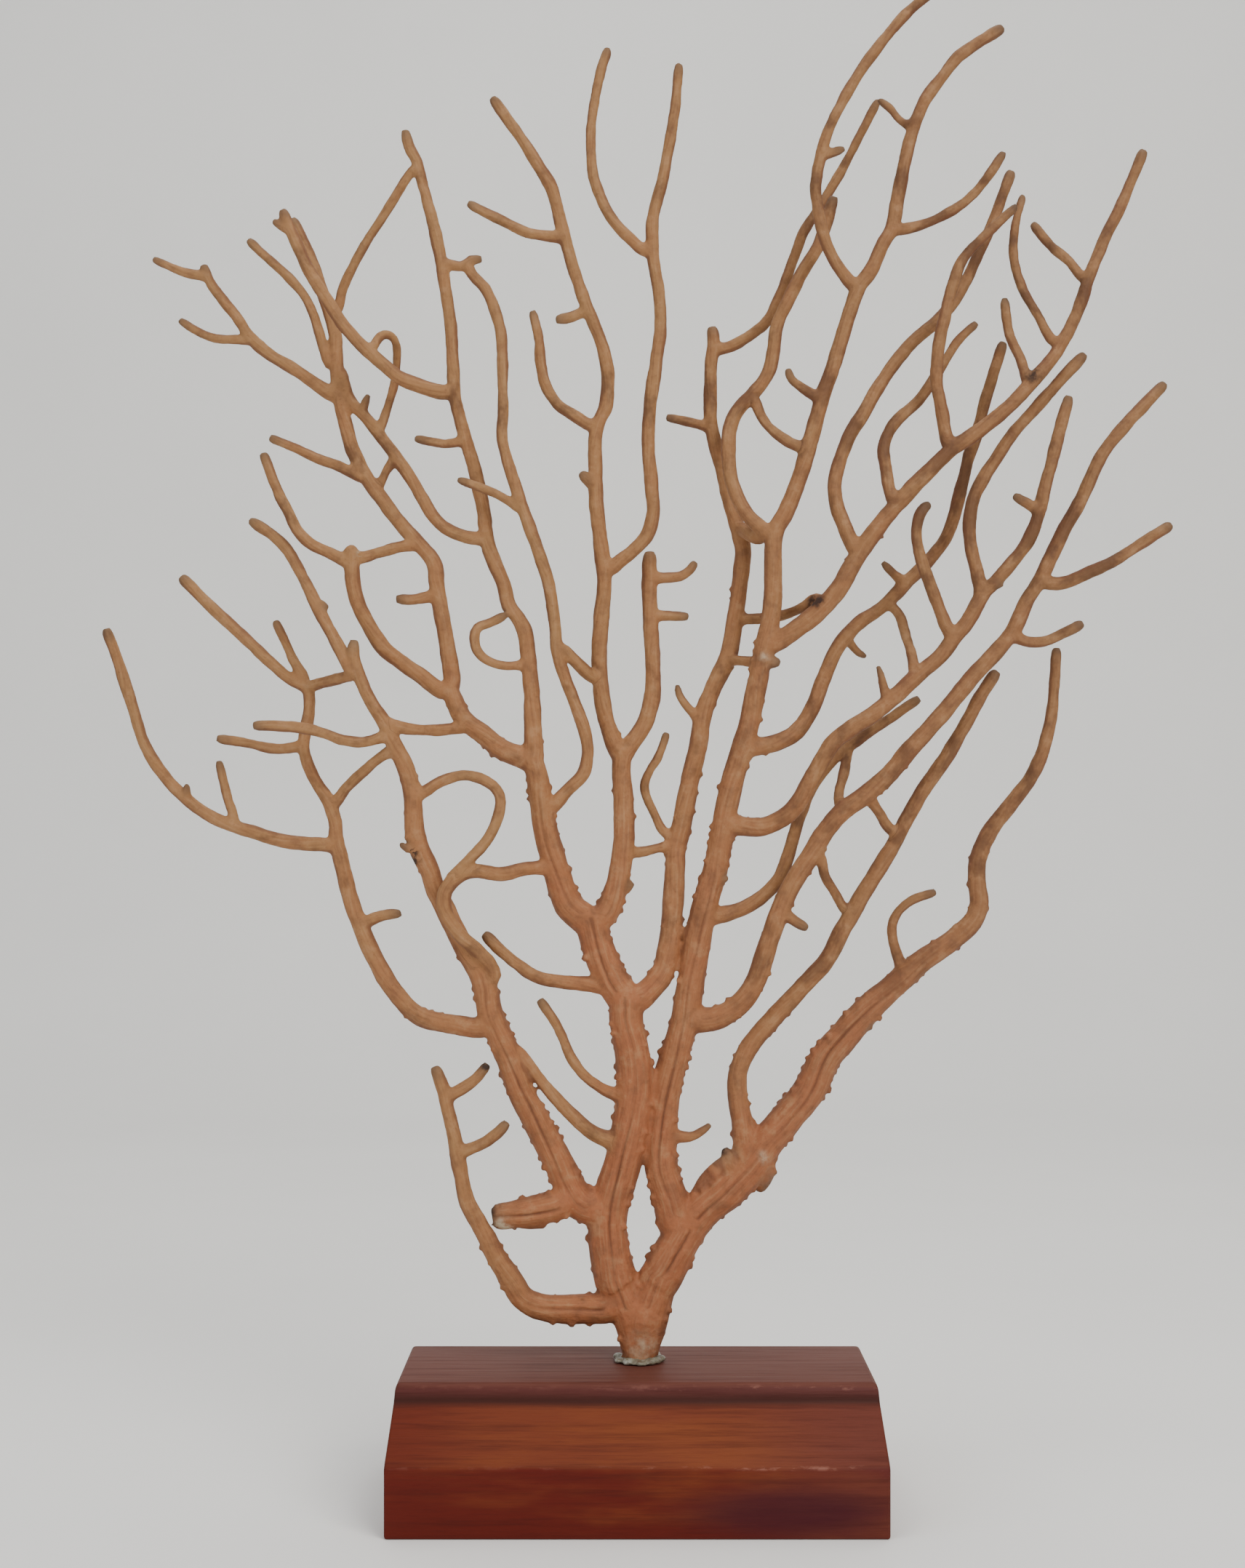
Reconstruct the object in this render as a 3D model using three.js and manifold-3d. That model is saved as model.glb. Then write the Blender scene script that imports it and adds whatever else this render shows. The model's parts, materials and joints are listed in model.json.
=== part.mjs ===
// A dried sea fan glued upright on a moulded wooden block. Millimetres, +Z up.
// The origin is the middle of the block's underside, and the fan's broad side faces -Y.
import * as THREE from "three";
import { mergeVertices } from "three/addons/utils/BufferGeometryUtils.js";
import Module from "manifold-3d";

const wasm = await Module();
wasm.setup();

// Wooden block: straight sides, a wide bevel front and back, a small step and a flat top
const BLOCK_WIDTH = 123.6;
const BLOCK_DEPTH = 72;
const BLOCK_SIDE_HEIGHT = 17.4;
const BEVEL_RUN = 14;
const BEVEL_DROP = 12.6;
const STEP_RISE = 3.4;
const STEP_RUN = 0.6;
const EDGE_ROUND = 1.2;
const END_LEAN = 1.9;
const BLOCK_HEIGHT = BLOCK_SIDE_HEIGHT + BEVEL_DROP + STEP_RISE + EDGE_ROUND;

// Fan: its height above the block, and the place of its foot on the block's top
const FAN_HEIGHT = 358.7;
const FOOT_X = 0.6;
const FOOT_Y = 2;

// The branches are drawn on a sheet, x to the right and y downwards, in units of its own.
// A branch that lies in front of the sheet or behind it stays on the sight line of its drawn place.
const DRAWN_FOOT = [878, 1872];
const DRAWN_TOP = -16;
const DRAWN_EYE = [856, 1180];
const EYE_DISTANCE = 560;
const UNIT = FAN_HEIGHT / (DRAWN_FOOT[1] - DRAWN_TOP);

// Branch section: six-sided, a little thinner front to back, with toothed side edges on thick stems
const SIDES = 6;
const TWIG_SIDES = 4;
const TWIG_WIDTH = 23;
const FLATNESS = 0.88;
const TOOTHED_WIDTH = 30;
const TOOTH_PITCH = 3.8;
const TOOTH_OUT = 0.14;
const LONGEST_STEP = 30;
const SHARPEST_TURN = 0.6;
const MEETING_ROOM = 5;
const TIP_TAPER = 0.78;
const TIP_DOME = 0.45;
const SAMPLE_UNITS = 8;

// Glue: a low irregular collar round the foot
const GLUE_RADIUS = 6.4;
const GLUE_HEIGHT = 3.2;
const GLUE_SIDES = 10;
const GLUE_WAVE = 0.12;

// Clear gap between a piece and the pieces it grows from or passes
const GAP = 0.3;

// The foot and the two stems that leave it
const foot = {
  name: "foot", parent: "",
  main: { width: [42, 48, 62], depth: [0],
    route: [[878, 1871], [883, 1850], [887, 1812]] },
  twigs: [
    { width: [40, 50, 50], depth: [0],
      route: [[878, 1855], [870, 1815], [851, 1768]] },
    { width: [42, 54, 54], depth: [0],
      route: [[883, 1855], [890, 1812], [903, 1764]] },
  ],
};
const stemLeft = {
  name: "stem_left", parent: "foot",
  main: { width: [54, 51, 48, 45], depth: [0, -1, -2],
    route: [[846, 1758], [836, 1700], [838, 1660], [856, 1600], [868, 1540], [872, 1490], [868, 1440],
            [861, 1405], [862, 1378]] },
  twigs: [
    { width: [16, 13], depth: [-4, -6],
      route: [[848, 1505], [825, 1495], [800, 1475], [783, 1450], [773, 1425], [760, 1400], [742, 1375]] },
  ],
};
const stemRight = {
  name: "stem_right", parent: "foot",
  main: { width: [54, 52], depth: [0, 1],
    route: [[909, 1756], [926, 1722], [943, 1692]] },
  twigs: [],
};
const lowLeftArm = {
  name: "low_left_arm", parent: "foot",
  main: { width: [38, 38, 32, 24, 21, 19, 17], depth: [-3, -7, -9, -10],
    route: [[835, 1797], [800, 1800], [750, 1798], [720, 1785], [705, 1762], [685, 1732], [670, 1703],
            [654, 1675], [641, 1650], [633, 1610], [624, 1560], [617, 1530], [610, 1500], [597, 1466]] },
  twigs: [
    { width: [16, 15], depth: [-11],
      route: [[634, 1584], [663, 1573], [685, 1557], [697, 1543]] },
    { width: [16, 15], depth: [-8],
      route: [[622, 1505], [651, 1486], [671, 1463]] },
  ],
};
// Stems of the left half, from the low fork outwards
const stemMiddle = {
  name: "stem_middle", parent: "stem_left",
  main: { width: [44, 42], depth: [-1, 0],
    route: [[857, 1370], [841, 1346], [823, 1305], [812, 1270]] },
  twigs: [
    { width: [20, 16], depth: [-3, -5],
      route: [[840, 1355], [805, 1353], [770, 1350], [738, 1343], [711, 1326], [690, 1308], [665, 1284]] },
  ],
};
const innerLeftStem = {
  name: "inner_left_stem", parent: "stem_middle",
  main: { width: [38, 36, 32, 28], depth: [-1, -3],
    route: [[800, 1261], [781, 1244], [766, 1200], [752, 1150], [744, 1105], [738, 1065], [733, 1048]] },
  twigs: [],
};
const outerLeftStem = {
  name: "outer_left_stem", parent: "stem_left",
  main: { width: [46, 40, 36, 34], depth: [-2, -4],
    route: [[825, 1663], [800, 1655], [785, 1635], [769, 1600], [743, 1552], [717, 1502], [698, 1450],
            [678, 1403]] },
  twigs: [
    { width: [40, 40, 33], depth: [-4, -5],
      route: [[770, 1655], [720, 1668], [677, 1674]] },
    { width: [14, 18, 22], depth: [-3], to: "stem_left",
      route: [[712, 1447], [730, 1468], [755, 1500], [785, 1532], [815, 1557], [840, 1568]] },
  ],
};
const outerLeftMiddle = {
  name: "outer_left_middle", parent: "outer_left_stem",
  main: { width: [33, 29, 26, 28], depth: [-5, -6, -7],
    route: [[673, 1388], [665, 1350], [640, 1305], [612, 1250], [600, 1225], [592, 1200], [578, 1170],
            [571, 1148]] },
  twigs: [],
};
const loopTwig = {
  name: "loop_twig", parent: "inner_left_stem",
  main: { width: [18, 20, 17], depth: [-5, -11, -12, -10, -8], to: "outer_left_middle",
    route: [[752, 1192], [720, 1195], [690, 1202], [645, 1198], [615, 1220], [611, 1248], [630, 1283],
            [660, 1310], [680, 1340]] },
  twigs: [],
};
const outerLeftTip = {
  name: "outer_left_tip", parent: "outer_left_middle",
  main: { width: [25, 24, 20, 17, 15], depth: [-7, -8, -9, -9],
    route: [[570, 1138], [568, 1100], [564, 1075], [555, 1050], [543, 1025], [530, 997], [506, 957],
            [490, 919], [486, 900], [487, 880]] },
  twigs: [
    { width: [15, 15], depth: [-8, -11, -12], to: "loop_twig",
      route: [[578, 1092], [606, 1075], [641, 1066], [677, 1080], [688, 1103], [675, 1147], [643, 1185],
              [622, 1207]] },
    { width: [15, 14], depth: [-9, -9, -8],
      route: [[530, 1012], [500, 1020], [470, 1017], [445, 1008], [420, 1002], [380, 998], [348, 998]] },
    { width: [13, 9], depth: [-9],
      route: [[566, 1168], [550, 1160]] },
  ],
};
const farLeftStem = {
  name: "far_left_stem", parent: "outer_left_stem",
  main: { width: [27, 24, 21], depth: [-2, 0, 1],
    route: [[658, 1413], [628, 1409], [597, 1404], [571, 1394], [551, 1374], [535, 1353], [508, 1302],
            [487, 1251], [473, 1200], [464, 1165]] },
  twigs: [
    { width: [15, 14], depth: [-1],
      route: [[505, 1267], [525, 1259], [552, 1256]] },
  ],
};
const farLeftTip = {
  name: "far_left_tip", parent: "far_left_stem",
  main: { width: [20, 17, 16, 17, 16], depth: [1, 3, 4, 6],
    route: [[462, 1150], [461, 1130], [452, 1102], [436, 1077], [424, 1052], [418, 1027], [421, 1000],
            [425, 975], [422, 948], [396, 932], [345, 885], [296, 840], [249, 793]] },
  twigs: [
    { width: [15, 13], depth: [2, -1],
      route: [[415, 1026], [380, 1030], [345, 1023], [298, 1015]] },
    { width: [15, 13], depth: [4, 2],
      route: [[418, 935], [402, 905], [390, 878], [378, 853]] },
    { width: [15, 15], depth: [-1, -5], to: "outer_left_tip",
      route: [[460, 1105], [477, 1083], [503, 1058], [529, 1037]] },
  ],
};
const farLeftSide = {
  name: "far_left_side", parent: "far_left_stem",
  main: { width: [20, 18, 16, 15], depth: [2, 1, -2, -5],
    route: [[452, 1162], [420, 1160], [385, 1155], [350, 1145], [318, 1135], [287, 1121], [259, 1101],
            [235, 1078], [212, 1047], [196, 1017], [185, 980], [164, 915], [146, 864]] },
  twigs: [
    { width: [13, 12], depth: [2],
      route: [[322, 1127], [313, 1097], [306, 1070], [301, 1046]] },
    { width: [12, 8], depth: [-1],
      route: [[256, 1092], [257, 1078]] },
  ],
};
const leftTopTwig = {
  name: "left_top_twig", parent: "outer_left_tip",
  main: { width: [18, 17, 15], depth: [-6, -2, 0],
    route: [[486, 926], [472, 902], [458, 875], [441, 843], [426, 813], [411, 783], [396, 757],
            [376, 737], [355, 723], [343, 715]] },
  twigs: [
    { width: [12, 8], depth: [-6],
      route: [[438, 830], [452, 836]] },
    { width: [15, 15], depth: [-5, 0], to: "far_left_tip",
      route: [[480, 929], [455, 936], [430, 943]] },
  ],
};
// The tall strands of the left half
const tallLeftStem = {
  name: "tall_left_stem", parent: "inner_left_stem",
  main: { width: [25, 22, 20, 19], depth: [-2, 0, 1],
    route: [[734, 1038], [733, 1000], [731, 950], [726, 900], [722, 870], [712, 850], [700, 833],
            [691, 800], [673, 756], [667, 722]] },
  twigs: [
    { width: [13, 13], depth: [-3, -2],
      route: [[713, 915], [690, 915], [668, 907], [656, 894], [652, 877], [657, 863], [672, 857],
              [697, 845]] },
  ],
};
const tallLeftTip = {
  name: "tall_left_tip", parent: "tall_left_stem",
  main: { width: [19, 18, 17, 17, 14], depth: [1, 0, -2, -3, -4],
    route: [[667, 712], [654, 650], [639, 600], [627, 555], [624, 525], [620, 450], [613, 400],
            [607, 360], [595, 305], [582, 256], [573, 222], [563, 203], [557, 179]] },
  twigs: [
    { width: [13, 12], depth: [2],
      route: [[636, 607], [612, 610], [595, 608], [570, 603]] },
    { width: [15, 13], depth: [-1],
      route: [[611, 363], [635, 366], [648, 358], [662, 356]] },
  ],
};
const tallLeftSide = {
  name: "tall_left_side", parent: "tall_left_tip",
  main: { width: [20, 18, 17, 15], depth: [-4, -6, -7, -7],
    route: [[615, 540], [600, 538], [575, 530], [549, 519], [527, 501], [507, 484], [487, 464],
            [470, 444], [455, 421], [437, 392], [422, 367], [410, 340], [398, 312], [388, 288]] },
  twigs: [
    { width: [13, 10], depth: [-7],
      route: [[398, 316], [386, 310], [375, 303]] },
  ],
};
const leftFork = {
  name: "left_fork", parent: "inner_left_stem",
  main: { width: [30, 27, 24], depth: [0, 2],
    route: [[722, 1043], [690, 1030], [665, 1010], [637, 988], [624, 962], [619, 948]] },
  twigs: [
    { width: [16, 16], depth: [0, -4, -8], to: "outer_left_tip",
      route: [[640, 998], [610, 1003], [570, 1003], [540, 998], [527, 992]] },
  ],
};
const leftFanLow = {
  name: "left_fan_low", parent: "left_fork",
  main: { width: [22, 21, 20], depth: [1, -2, -3],
    route: [[607, 950], [581, 931], [551, 910], [526, 889], [506, 858], [491, 827], [485, 796],
            [483, 760]] },
  twigs: [
    { width: [16, 14], depth: [-5, -6],
      route: [[478, 772], [450, 758], [428, 748], [408, 728], [397, 705], [383, 678], [362, 623]] },
  ],
};
const leftFanStem = {
  name: "left_fan_stem", parent: "left_fork",
  main: { width: [23, 22, 20, 20], depth: [3, 5, 6],
    route: [[622, 935], [618, 905], [608, 850], [600, 800], [597, 775], [580, 752], [560, 730],
            [539, 705], [523, 683], [508, 663], [495, 642]] },
  twigs: [
    { width: [15, 13], depth: [4, 1],
      route: [[500, 657], [470, 643], [440, 632], [410, 618], [371, 602]] },
    { width: [15, 14], depth: [3],
      route: [[594, 820], [570, 824], [545, 824]] },
    { width: [15, 15], depth: [3, 0], to: "left_fan_low",
      route: [[576, 748], [550, 752], [520, 760], [500, 766]] },
  ],
};
const leftFanTip = {
  name: "left_fan_tip", parent: "left_fan_stem",
  main: { width: [20, 19, 18, 16], depth: [7, 8, 9, 9],
    route: [[491, 632], [484, 615], [476, 585], [469, 560], [465, 530], [463, 500], [462, 465],
            [453, 430], [441, 396], [428, 358], [414, 328], [401, 300]] },
  twigs: [
    { width: [14, 13], depth: [9, 12, 13],
      route: [[453, 500], [441, 465], [430, 430], [415, 402], [390, 375], [365, 352], [341, 330]] },
    { width: [14, 13], depth: [7, 3, -1], to: "tall_left_tip",
      route: [[464, 424], [472, 395], [497, 345], [530, 293], [566, 236]] },
  ],
};
const leftFanSide = {
  name: "left_fan_side", parent: "left_fan_tip",
  main: { width: [20, 17, 15, 14], depth: [5, 2, -1],
    route: [[458, 543], [430, 525], [400, 505], [370, 487], [345, 465], [327, 438], [307, 413],
            [290, 390], [280, 364]] },
  twigs: [
    { width: [13, 12], depth: [-2],
      route: [[285, 381], [255, 375], [230, 365], [210, 356]] },
    { width: [13, 12], depth: [4, 5],
      route: [[347, 467], [325, 467], [300, 466], [280, 460], [247, 440]] },
  ],
};
const crossLeft = {
  name: "cross_left", parent: "tall_left_stem",
  main: { width: [18, 17, 16], depth: [2, 4, 6], to: "left_fan_tip",
    route: [[660, 741], [640, 738], [615, 728], [598, 713], [582, 688], [565, 659], [543, 626],
            [521, 597], [501, 572], [483, 553], [474, 530], [469, 514]] },
  twigs: [
    { width: [12, 12], depth: [5, 5, 3, -2], to: "tall_left_side",
      route: [[522, 590], [535, 555], [543, 525], [546, 495], [544, 470], [534, 460], [522, 463],
              [514, 475]] },
    { width: [11, 9], depth: [3],
      route: [[500, 560], [506, 543]] },
    { width: [12, 12], depth: [5], to: "left_fan_stem",
      route: [[542, 630], [530, 650], [524, 664]] },
  ],
};
// The strands in the middle of the fan
const middleStem = {
  name: "middle_stem", parent: "stem_middle",
  main: { width: [32, 30, 28, 26], depth: [1, 3],
    route: [[832, 1257], [843, 1234], [852, 1200], [858, 1150], [857, 1100], [854, 1060], [855, 1042]] },
  twigs: [
    { width: [17, 12], depth: [1],
      route: [[856, 1222], [871, 1213]] },
  ],
};
const middleLeftStem = {
  name: "middle_left_stem", parent: "middle_stem",
  main: { width: [24, 22, 21, 20], depth: [3, 2, 0],
    route: [[846, 1026], [832, 985], [826, 945], [824, 900], [827, 850], [831, 800], [826, 750],
            [821, 702]] },
  twigs: [],
};
const middleLeftTip = {
  name: "middle_left_tip", parent: "middle_left_stem",
  main: { width: [20, 19, 17, 17, 15], depth: [-1, -3, -5, -6],
    route: [[820, 690], [819, 650], [818, 610], [822, 585], [833, 558], [836, 530], [834, 500],
            [828, 475], [808, 425], [799, 400], [787, 365], [772, 310], [759, 260], [745, 235],
            [728, 207], [695, 160], [676, 134]] },
  twigs: [
    { width: [15, 13], depth: [-7, -9],
      route: [[774, 327], [745, 324], [725, 320], [700, 308], [675, 296], [643, 279]] },
    { width: [14, 13], depth: [-2],
      route: [[800, 430], [785, 436], [764, 440]] },
    { width: [16, 14], depth: [0, 2],
      route: [[814, 586], [789, 571], [766, 555], [751, 531], [744, 502], [741, 465], [732, 427]] },
    { width: [17, 15], depth: [-3],
      route: [[815, 664], [798, 650]] },
  ],
};
const middleRightTwig = {
  name: "middle_right_twig", parent: "middle_stem",
  main: { width: [24, 22, 21, 20], depth: [5, 7, 8],
    route: [[864, 1028], [876, 1012], [889, 988], [897, 957], [898, 920], [896, 880], [893, 820],
            [893, 758]] },
  twigs: [
    { width: [15, 13], depth: [7],
      route: [[900, 795], [935, 793], [948, 785], [957, 772]] },
    { width: [14, 13], depth: [9],
      route: [[900, 847], [947, 848]] },
  ],
};
const middleTop = {
  name: "middle_top", parent: "middle_left_stem",
  main: { width: [18, 19, 18, 17, 17, 15, 13], depth: [-2, -4, -5, -6, -7],
    route: [[838, 783], [855, 770], [875, 753], [890, 735], [898, 705], [896, 670], [892, 620],
            [892, 580], [896, 540], [902, 500], [908, 450], [906, 400], [898, 355], [898, 300],
            [911, 250], [920, 200], [928, 150], [934, 88]] },
  twigs: [],
};
const middleTopLeft = {
  name: "middle_top_left", parent: "middle_top",
  main: { width: [16, 15, 14, 13], depth: [-4, -1, 1],
    route: [[890, 346], [873, 335], [839, 297], [818, 249], [812, 195], [815, 155], [826, 98], [836, 66]] },
  twigs: [],
};
const innerClimber = {
  name: "inner_climber", parent: "inner_left_stem",
  main: { width: [18, 17, 17, 15, 15], depth: [-3, -5, -7, -7, -6], to: "tall_left_tip",
    route: [[760, 1108], [780, 1087], [802, 1064], [808, 1035], [803, 1001], [789, 963], [777, 931],
            [767, 900], [763, 860], [754, 801], [738, 752], [720, 702], [703, 651], [694, 620],
            [690, 600], [692, 560], [691, 530], [691, 490], [689, 456], [681, 429], [668, 398],
            [648, 376]] },
  twigs: [
    { width: [17, 17], depth: [-2], to: "middle_left_stem",
      route: [[772, 893], [790, 908], [814, 930]] },
    { width: [13, 12], depth: [-6, -5],
      route: [[715, 699], [704, 692], [685, 681], [665, 672], [629, 659]] },
  ],
};
const centreStem = {
  name: "centre_stem", parent: "stem_left",
  main: { width: [32, 30, 28, 26], depth: [1, 4, 5],
    route: [[882, 1370], [896, 1358], [911, 1338], [920, 1300], [925, 1250], [928, 1200], [930, 1165],
            [936, 1140], [944, 1100], [951, 1064]] },
  twigs: [
    { width: [13, 12], depth: [6, 8],
      route: [[922, 1150], [910, 1140], [898, 1115], [889, 1095], [886, 1080], [893, 1060], [905, 1041],
              [917, 1007]] },
    { width: [13, 13], depth: [3], to: "middle_stem",
      route: [[920, 1163], [905, 1166], [876, 1172]] },
  ],
};
const centreUpper = {
  name: "centre_upper", parent: "centre_stem",
  main: { width: [25, 24, 24, 23], depth: [6, 8, 9],
    route: [[954, 1050], [961, 1020], [965, 990], [979, 950], [1002, 901], [1011, 850], [1018, 800],
            [1022, 760], [1018, 738]] },
  twigs: [
    { width: [13, 10], depth: [5],
      route: [[957, 985], [943, 970], [934, 955], [931, 941]] },
  ],
};
const centreTip = {
  name: "centre_tip", parent: "centre_upper",
  main: { width: [20, 19, 18], depth: [11, 12, 12],
    route: [[1016, 729], [1006, 700], [994, 650], [982, 605], [977, 580], [977, 550], [978, 500],
            [981, 472], [979, 449]] },
  twigs: [
    { width: [14, 13], depth: [11],
      route: [[974, 587], [950, 581], [916, 574]] },
  ],
};
const centreTop = {
  name: "centre_top", parent: "centre_tip",
  main: { width: [16, 15, 14, 13], depth: [12, 11, 10, 8],
    route: [[986, 480], [1006, 476], [1032, 461], [1055, 441], [1069, 414], [1083, 380], [1095, 345],
            [1107, 316], [1140, 264], [1168, 214], [1208, 137]] },
  twigs: [],
};
// Stems of the right half
const rightStem = {
  name: "right_stem", parent: "stem_right",
  main: { width: [46, 45, 41, 38, 36], depth: [1, 0],
    route: [[930, 1684], [922, 1650], [909, 1600], [910, 1550], [915, 1500], [928, 1450], [942, 1400],
            [950, 1350], [958, 1305]] },
  twigs: [
    { width: [18, 10], depth: [-1],
      route: [[925, 1562], [950, 1563], [967, 1554], [977, 1546]] },
  ],
};
const rightUpper = {
  name: "right_upper", parent: "right_stem",
  main: { width: [36, 33, 29, 26, 23], depth: [-1, -2, -3],
    route: [[959, 1292], [968, 1250], [982, 1200], [993, 1150], [1001, 1100], [1014, 1050], [1029, 1000],
            [1039, 950], [1052, 885], [1060, 850], [1063, 800], [1063, 760], [1064, 737]] },
  twigs: [
    { width: [14, 14], depth: [2], to: "centre_upper",
      route: [[1040, 911], [1025, 909], [1012, 908]] },
    { width: [17, 14], depth: [-4],
      route: [[1054, 909], [1072, 911]] },
    { width: [13, 9], depth: [-2],
      route: [[986, 1212], [1001, 1207]] },
  ],
};
const rightArm = {
  name: "right_arm", parent: "right_upper",
  main: { width: [25, 25, 24, 22, 20], depth: [-6, -8, -8],
    route: [[1062, 886], [1080, 876], [1109, 855], [1133, 833], [1154, 808], [1170, 781], [1186, 755],
            [1206, 727], [1231, 696], [1257, 668], [1287, 638], [1312, 615]] },
  twigs: [
    { width: [14, 15], depth: [-1, 5, 7], to: "centre_upper",
      route: [[1122, 823], [1105, 834], [1080, 845], [1050, 850], [1024, 851]] },
  ],
};
const rightArmTip = {
  name: "right_arm_tip", parent: "right_arm",
  main: { width: [20, 19, 17, 16, 15], depth: [-8, -7, -5, -4],
    route: [[1320, 610], [1348, 591], [1388, 558], [1413, 532], [1450, 488], [1468, 457], [1484, 422],
            [1496, 386], [1520, 326], [1538, 290], [1573, 207]] },
  twigs: [
    { width: [14, 13], depth: [-5, -3],
      route: [[1412, 520], [1402, 490], [1388, 460], [1381, 410]] },
    { width: [13, 12], depth: [-4, -1, 1],
      route: [[1446, 467], [1426, 432], [1406, 397], [1395, 362], [1394, 330], [1398, 301], [1407, 268]] },
    { width: [13, 13], depth: [-3, 0],
      route: [[1486, 380], [1472, 361], [1445, 338], [1419, 307]] },
  ],
};
const rightArmMiddle = {
  name: "right_arm_middle", parent: "right_arm",
  main: { width: [18, 17, 15, 12], depth: [-9, -10, -9, -7],
    route: [[1303, 607], [1296, 570], [1288, 525], [1290, 480], [1298, 441], [1309, 395], [1325, 355],
            [1354, 324], [1398, 283]] },
  twigs: [],
};
const rightArmTwig = {
  name: "right_arm_twig", parent: "right_arm",
  main: { width: [17, 16, 14, 12], depth: [-5, -2, -1, 0],
    route: [[1226, 683], [1218, 643], [1215, 613], [1230, 582], [1264, 550], [1293, 507], [1317, 469],
            [1343, 444]] },
  twigs: [],
};
const rightArmInner = {
  name: "right_arm_inner", parent: "right_arm",
  main: { width: [20, 19, 17, 15], depth: [-4, 0, 2, 3],
    route: [[1174, 751], [1162, 726], [1151, 696], [1148, 662], [1166, 604], [1189, 565], [1214, 523],
            [1253, 472], [1294, 436], [1327, 389], [1350, 340], [1370, 293], [1391, 235]] },
  twigs: [],
};
const rightTopStem = {
  name: "right_top_stem", parent: "right_upper",
  main: { width: [22, 21, 20, 19, 17, 16], depth: [-4, -5, -5, -4, -3],
    route: [[1068, 725], [1080, 705], [1095, 670], [1113, 610], [1131, 546], [1143, 511], [1165, 442],
            [1181, 395], [1196, 374], [1213, 338], [1227, 312], [1234, 275], [1243, 230], [1252, 190],
            [1261, 162], [1274, 134], [1296, 105], [1319, 77], [1379, 38]] },
  twigs: [
    { width: [13, 12], depth: [-7],
      route: [[1122, 545], [1103, 533], [1088, 521], [1083, 507]] },
    { width: [12, 10], depth: [-1],
      route: [[1248, 172], [1236, 164], [1226, 151], [1208, 137]] },
    { width: [14, 13], depth: [-6, -8],
      route: [[1232, 316], [1265, 310], [1300, 295], [1328, 277], [1351, 253], [1381, 209]] },
  ],
};
const rightTopLeft = {
  name: "right_top_left", parent: "right_top_stem",
  main: { width: [17, 16, 15, 14], depth: [-7, -9, -8, -6],
    route: [[1166, 385], [1147, 357], [1133, 326], [1125, 290], [1122, 255], [1127, 222], [1138, 183],
            [1156, 144], [1176, 109], [1200, 74], [1249, 16], [1288, -16]] },
  twigs: [
    { width: [13, 11], depth: [-9],
      route: [[1130, 214], [1147, 209], [1162, 204]] },
  ],
};
const rightInner = {
  name: "right_inner", parent: "right_upper",
  main: { width: [20, 19, 18, 17], depth: [1, 4, 4, 3, 2],
    route: [[1052, 730], [1025, 704], [1007, 663], [1002, 622], [1003, 592], [1013, 566], [1039, 538],
            [1057, 512], [1064, 480], [1069, 445], [1085, 412], [1104, 372], [1126, 336], [1147, 270]] },
  twigs: [
    { width: [22, 20], depth: [2], to: "centre_tip",
      route: [[1044, 738], [1034, 735], [1022, 728]] },
    { width: [14, 14], depth: [1, -3], to: "right_top_stem",
      route: [[1038, 552], [1048, 574], [1065, 594], [1087, 609], [1103, 615]] },
  ],
};
const rightBackArm = {
  name: "right_back_arm", parent: "right_upper",
  main: { width: [24, 21, 19, 18, 17, 15], depth: [3, 6, 8, 9, 9],
    route: [[1034, 1027], [1068, 1021], [1096, 1005], [1118, 972], [1133, 932], [1151, 892], [1177, 860],
            [1215, 833], [1248, 800], [1275, 773], [1297, 745], [1310, 715], [1322, 670], [1332, 630],
            [1345, 590], [1355, 550], [1380, 470]] },
  twigs: [
    { width: [13, 11], depth: [6],
      route: [[1245, 803], [1230, 790], [1213, 773]] },
    { width: [12, 10], depth: [9],
      route: [[1166, 882], [1180, 897], [1191, 903]] },
  ],
};
const rightFrontArm = {
  name: "right_front_arm", parent: "right_upper",
  main: { width: [26, 23, 22, 20], depth: [-4, -6, -6, -6],
    route: [[1014, 1135], [1046, 1137], [1078, 1124], [1100, 1101], [1117, 1068], [1134, 1039],
            [1153, 1014], [1202, 981], [1230, 958], [1260, 930], [1290, 905], [1310, 880], [1330, 855],
            [1348, 822]] },
  twigs: [
    { width: [14, 13], depth: [-2, 4], to: "right_back_arm",
      route: [[1258, 925], [1254, 900], [1246, 875], [1237, 846]] },
    { width: [13, 10], depth: [-8],
      route: [[1219, 960], [1213, 935], [1207, 915]] },
  ],
};
const rightFrontLeft = {
  name: "right_front_left", parent: "right_front_arm",
  main: { width: [18, 18, 17, 16], depth: [-5, -4, -4, -5],
    route: [[1348, 808], [1343, 785], [1335, 750], [1333, 715], [1340, 682], [1355, 653], [1374, 624],
            [1399, 589], [1419, 567], [1448, 534], [1492, 486]] },
  twigs: [],
};
const rightFrontRight = {
  name: "right_front_right", parent: "right_front_arm",
  main: { width: [18, 18, 17, 16], depth: [-7, -9, -9],
    route: [[1356, 812], [1367, 802], [1390, 775], [1410, 750], [1422, 725], [1430, 700], [1437, 670],
            [1445, 640], [1455, 600], [1470, 544]] },
  twigs: [
    { width: [15, 14], depth: [-10],
      route: [[1428, 702], [1410, 691], [1394, 681]] },
    { width: [12, 8], depth: [-7],
      route: [[1366, 804], [1380, 804]] },
  ],
};
const rightFrontTwig = {
  name: "right_front_twig", parent: "right_front_arm",
  main: { width: [17, 16, 14], depth: [-7, -8, -7],
    route: [[1305, 868], [1293, 840], [1278, 800], [1265, 765], [1260, 735], [1263, 712], [1272, 697],
            [1279, 693]] },
  twigs: [],
};
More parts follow.
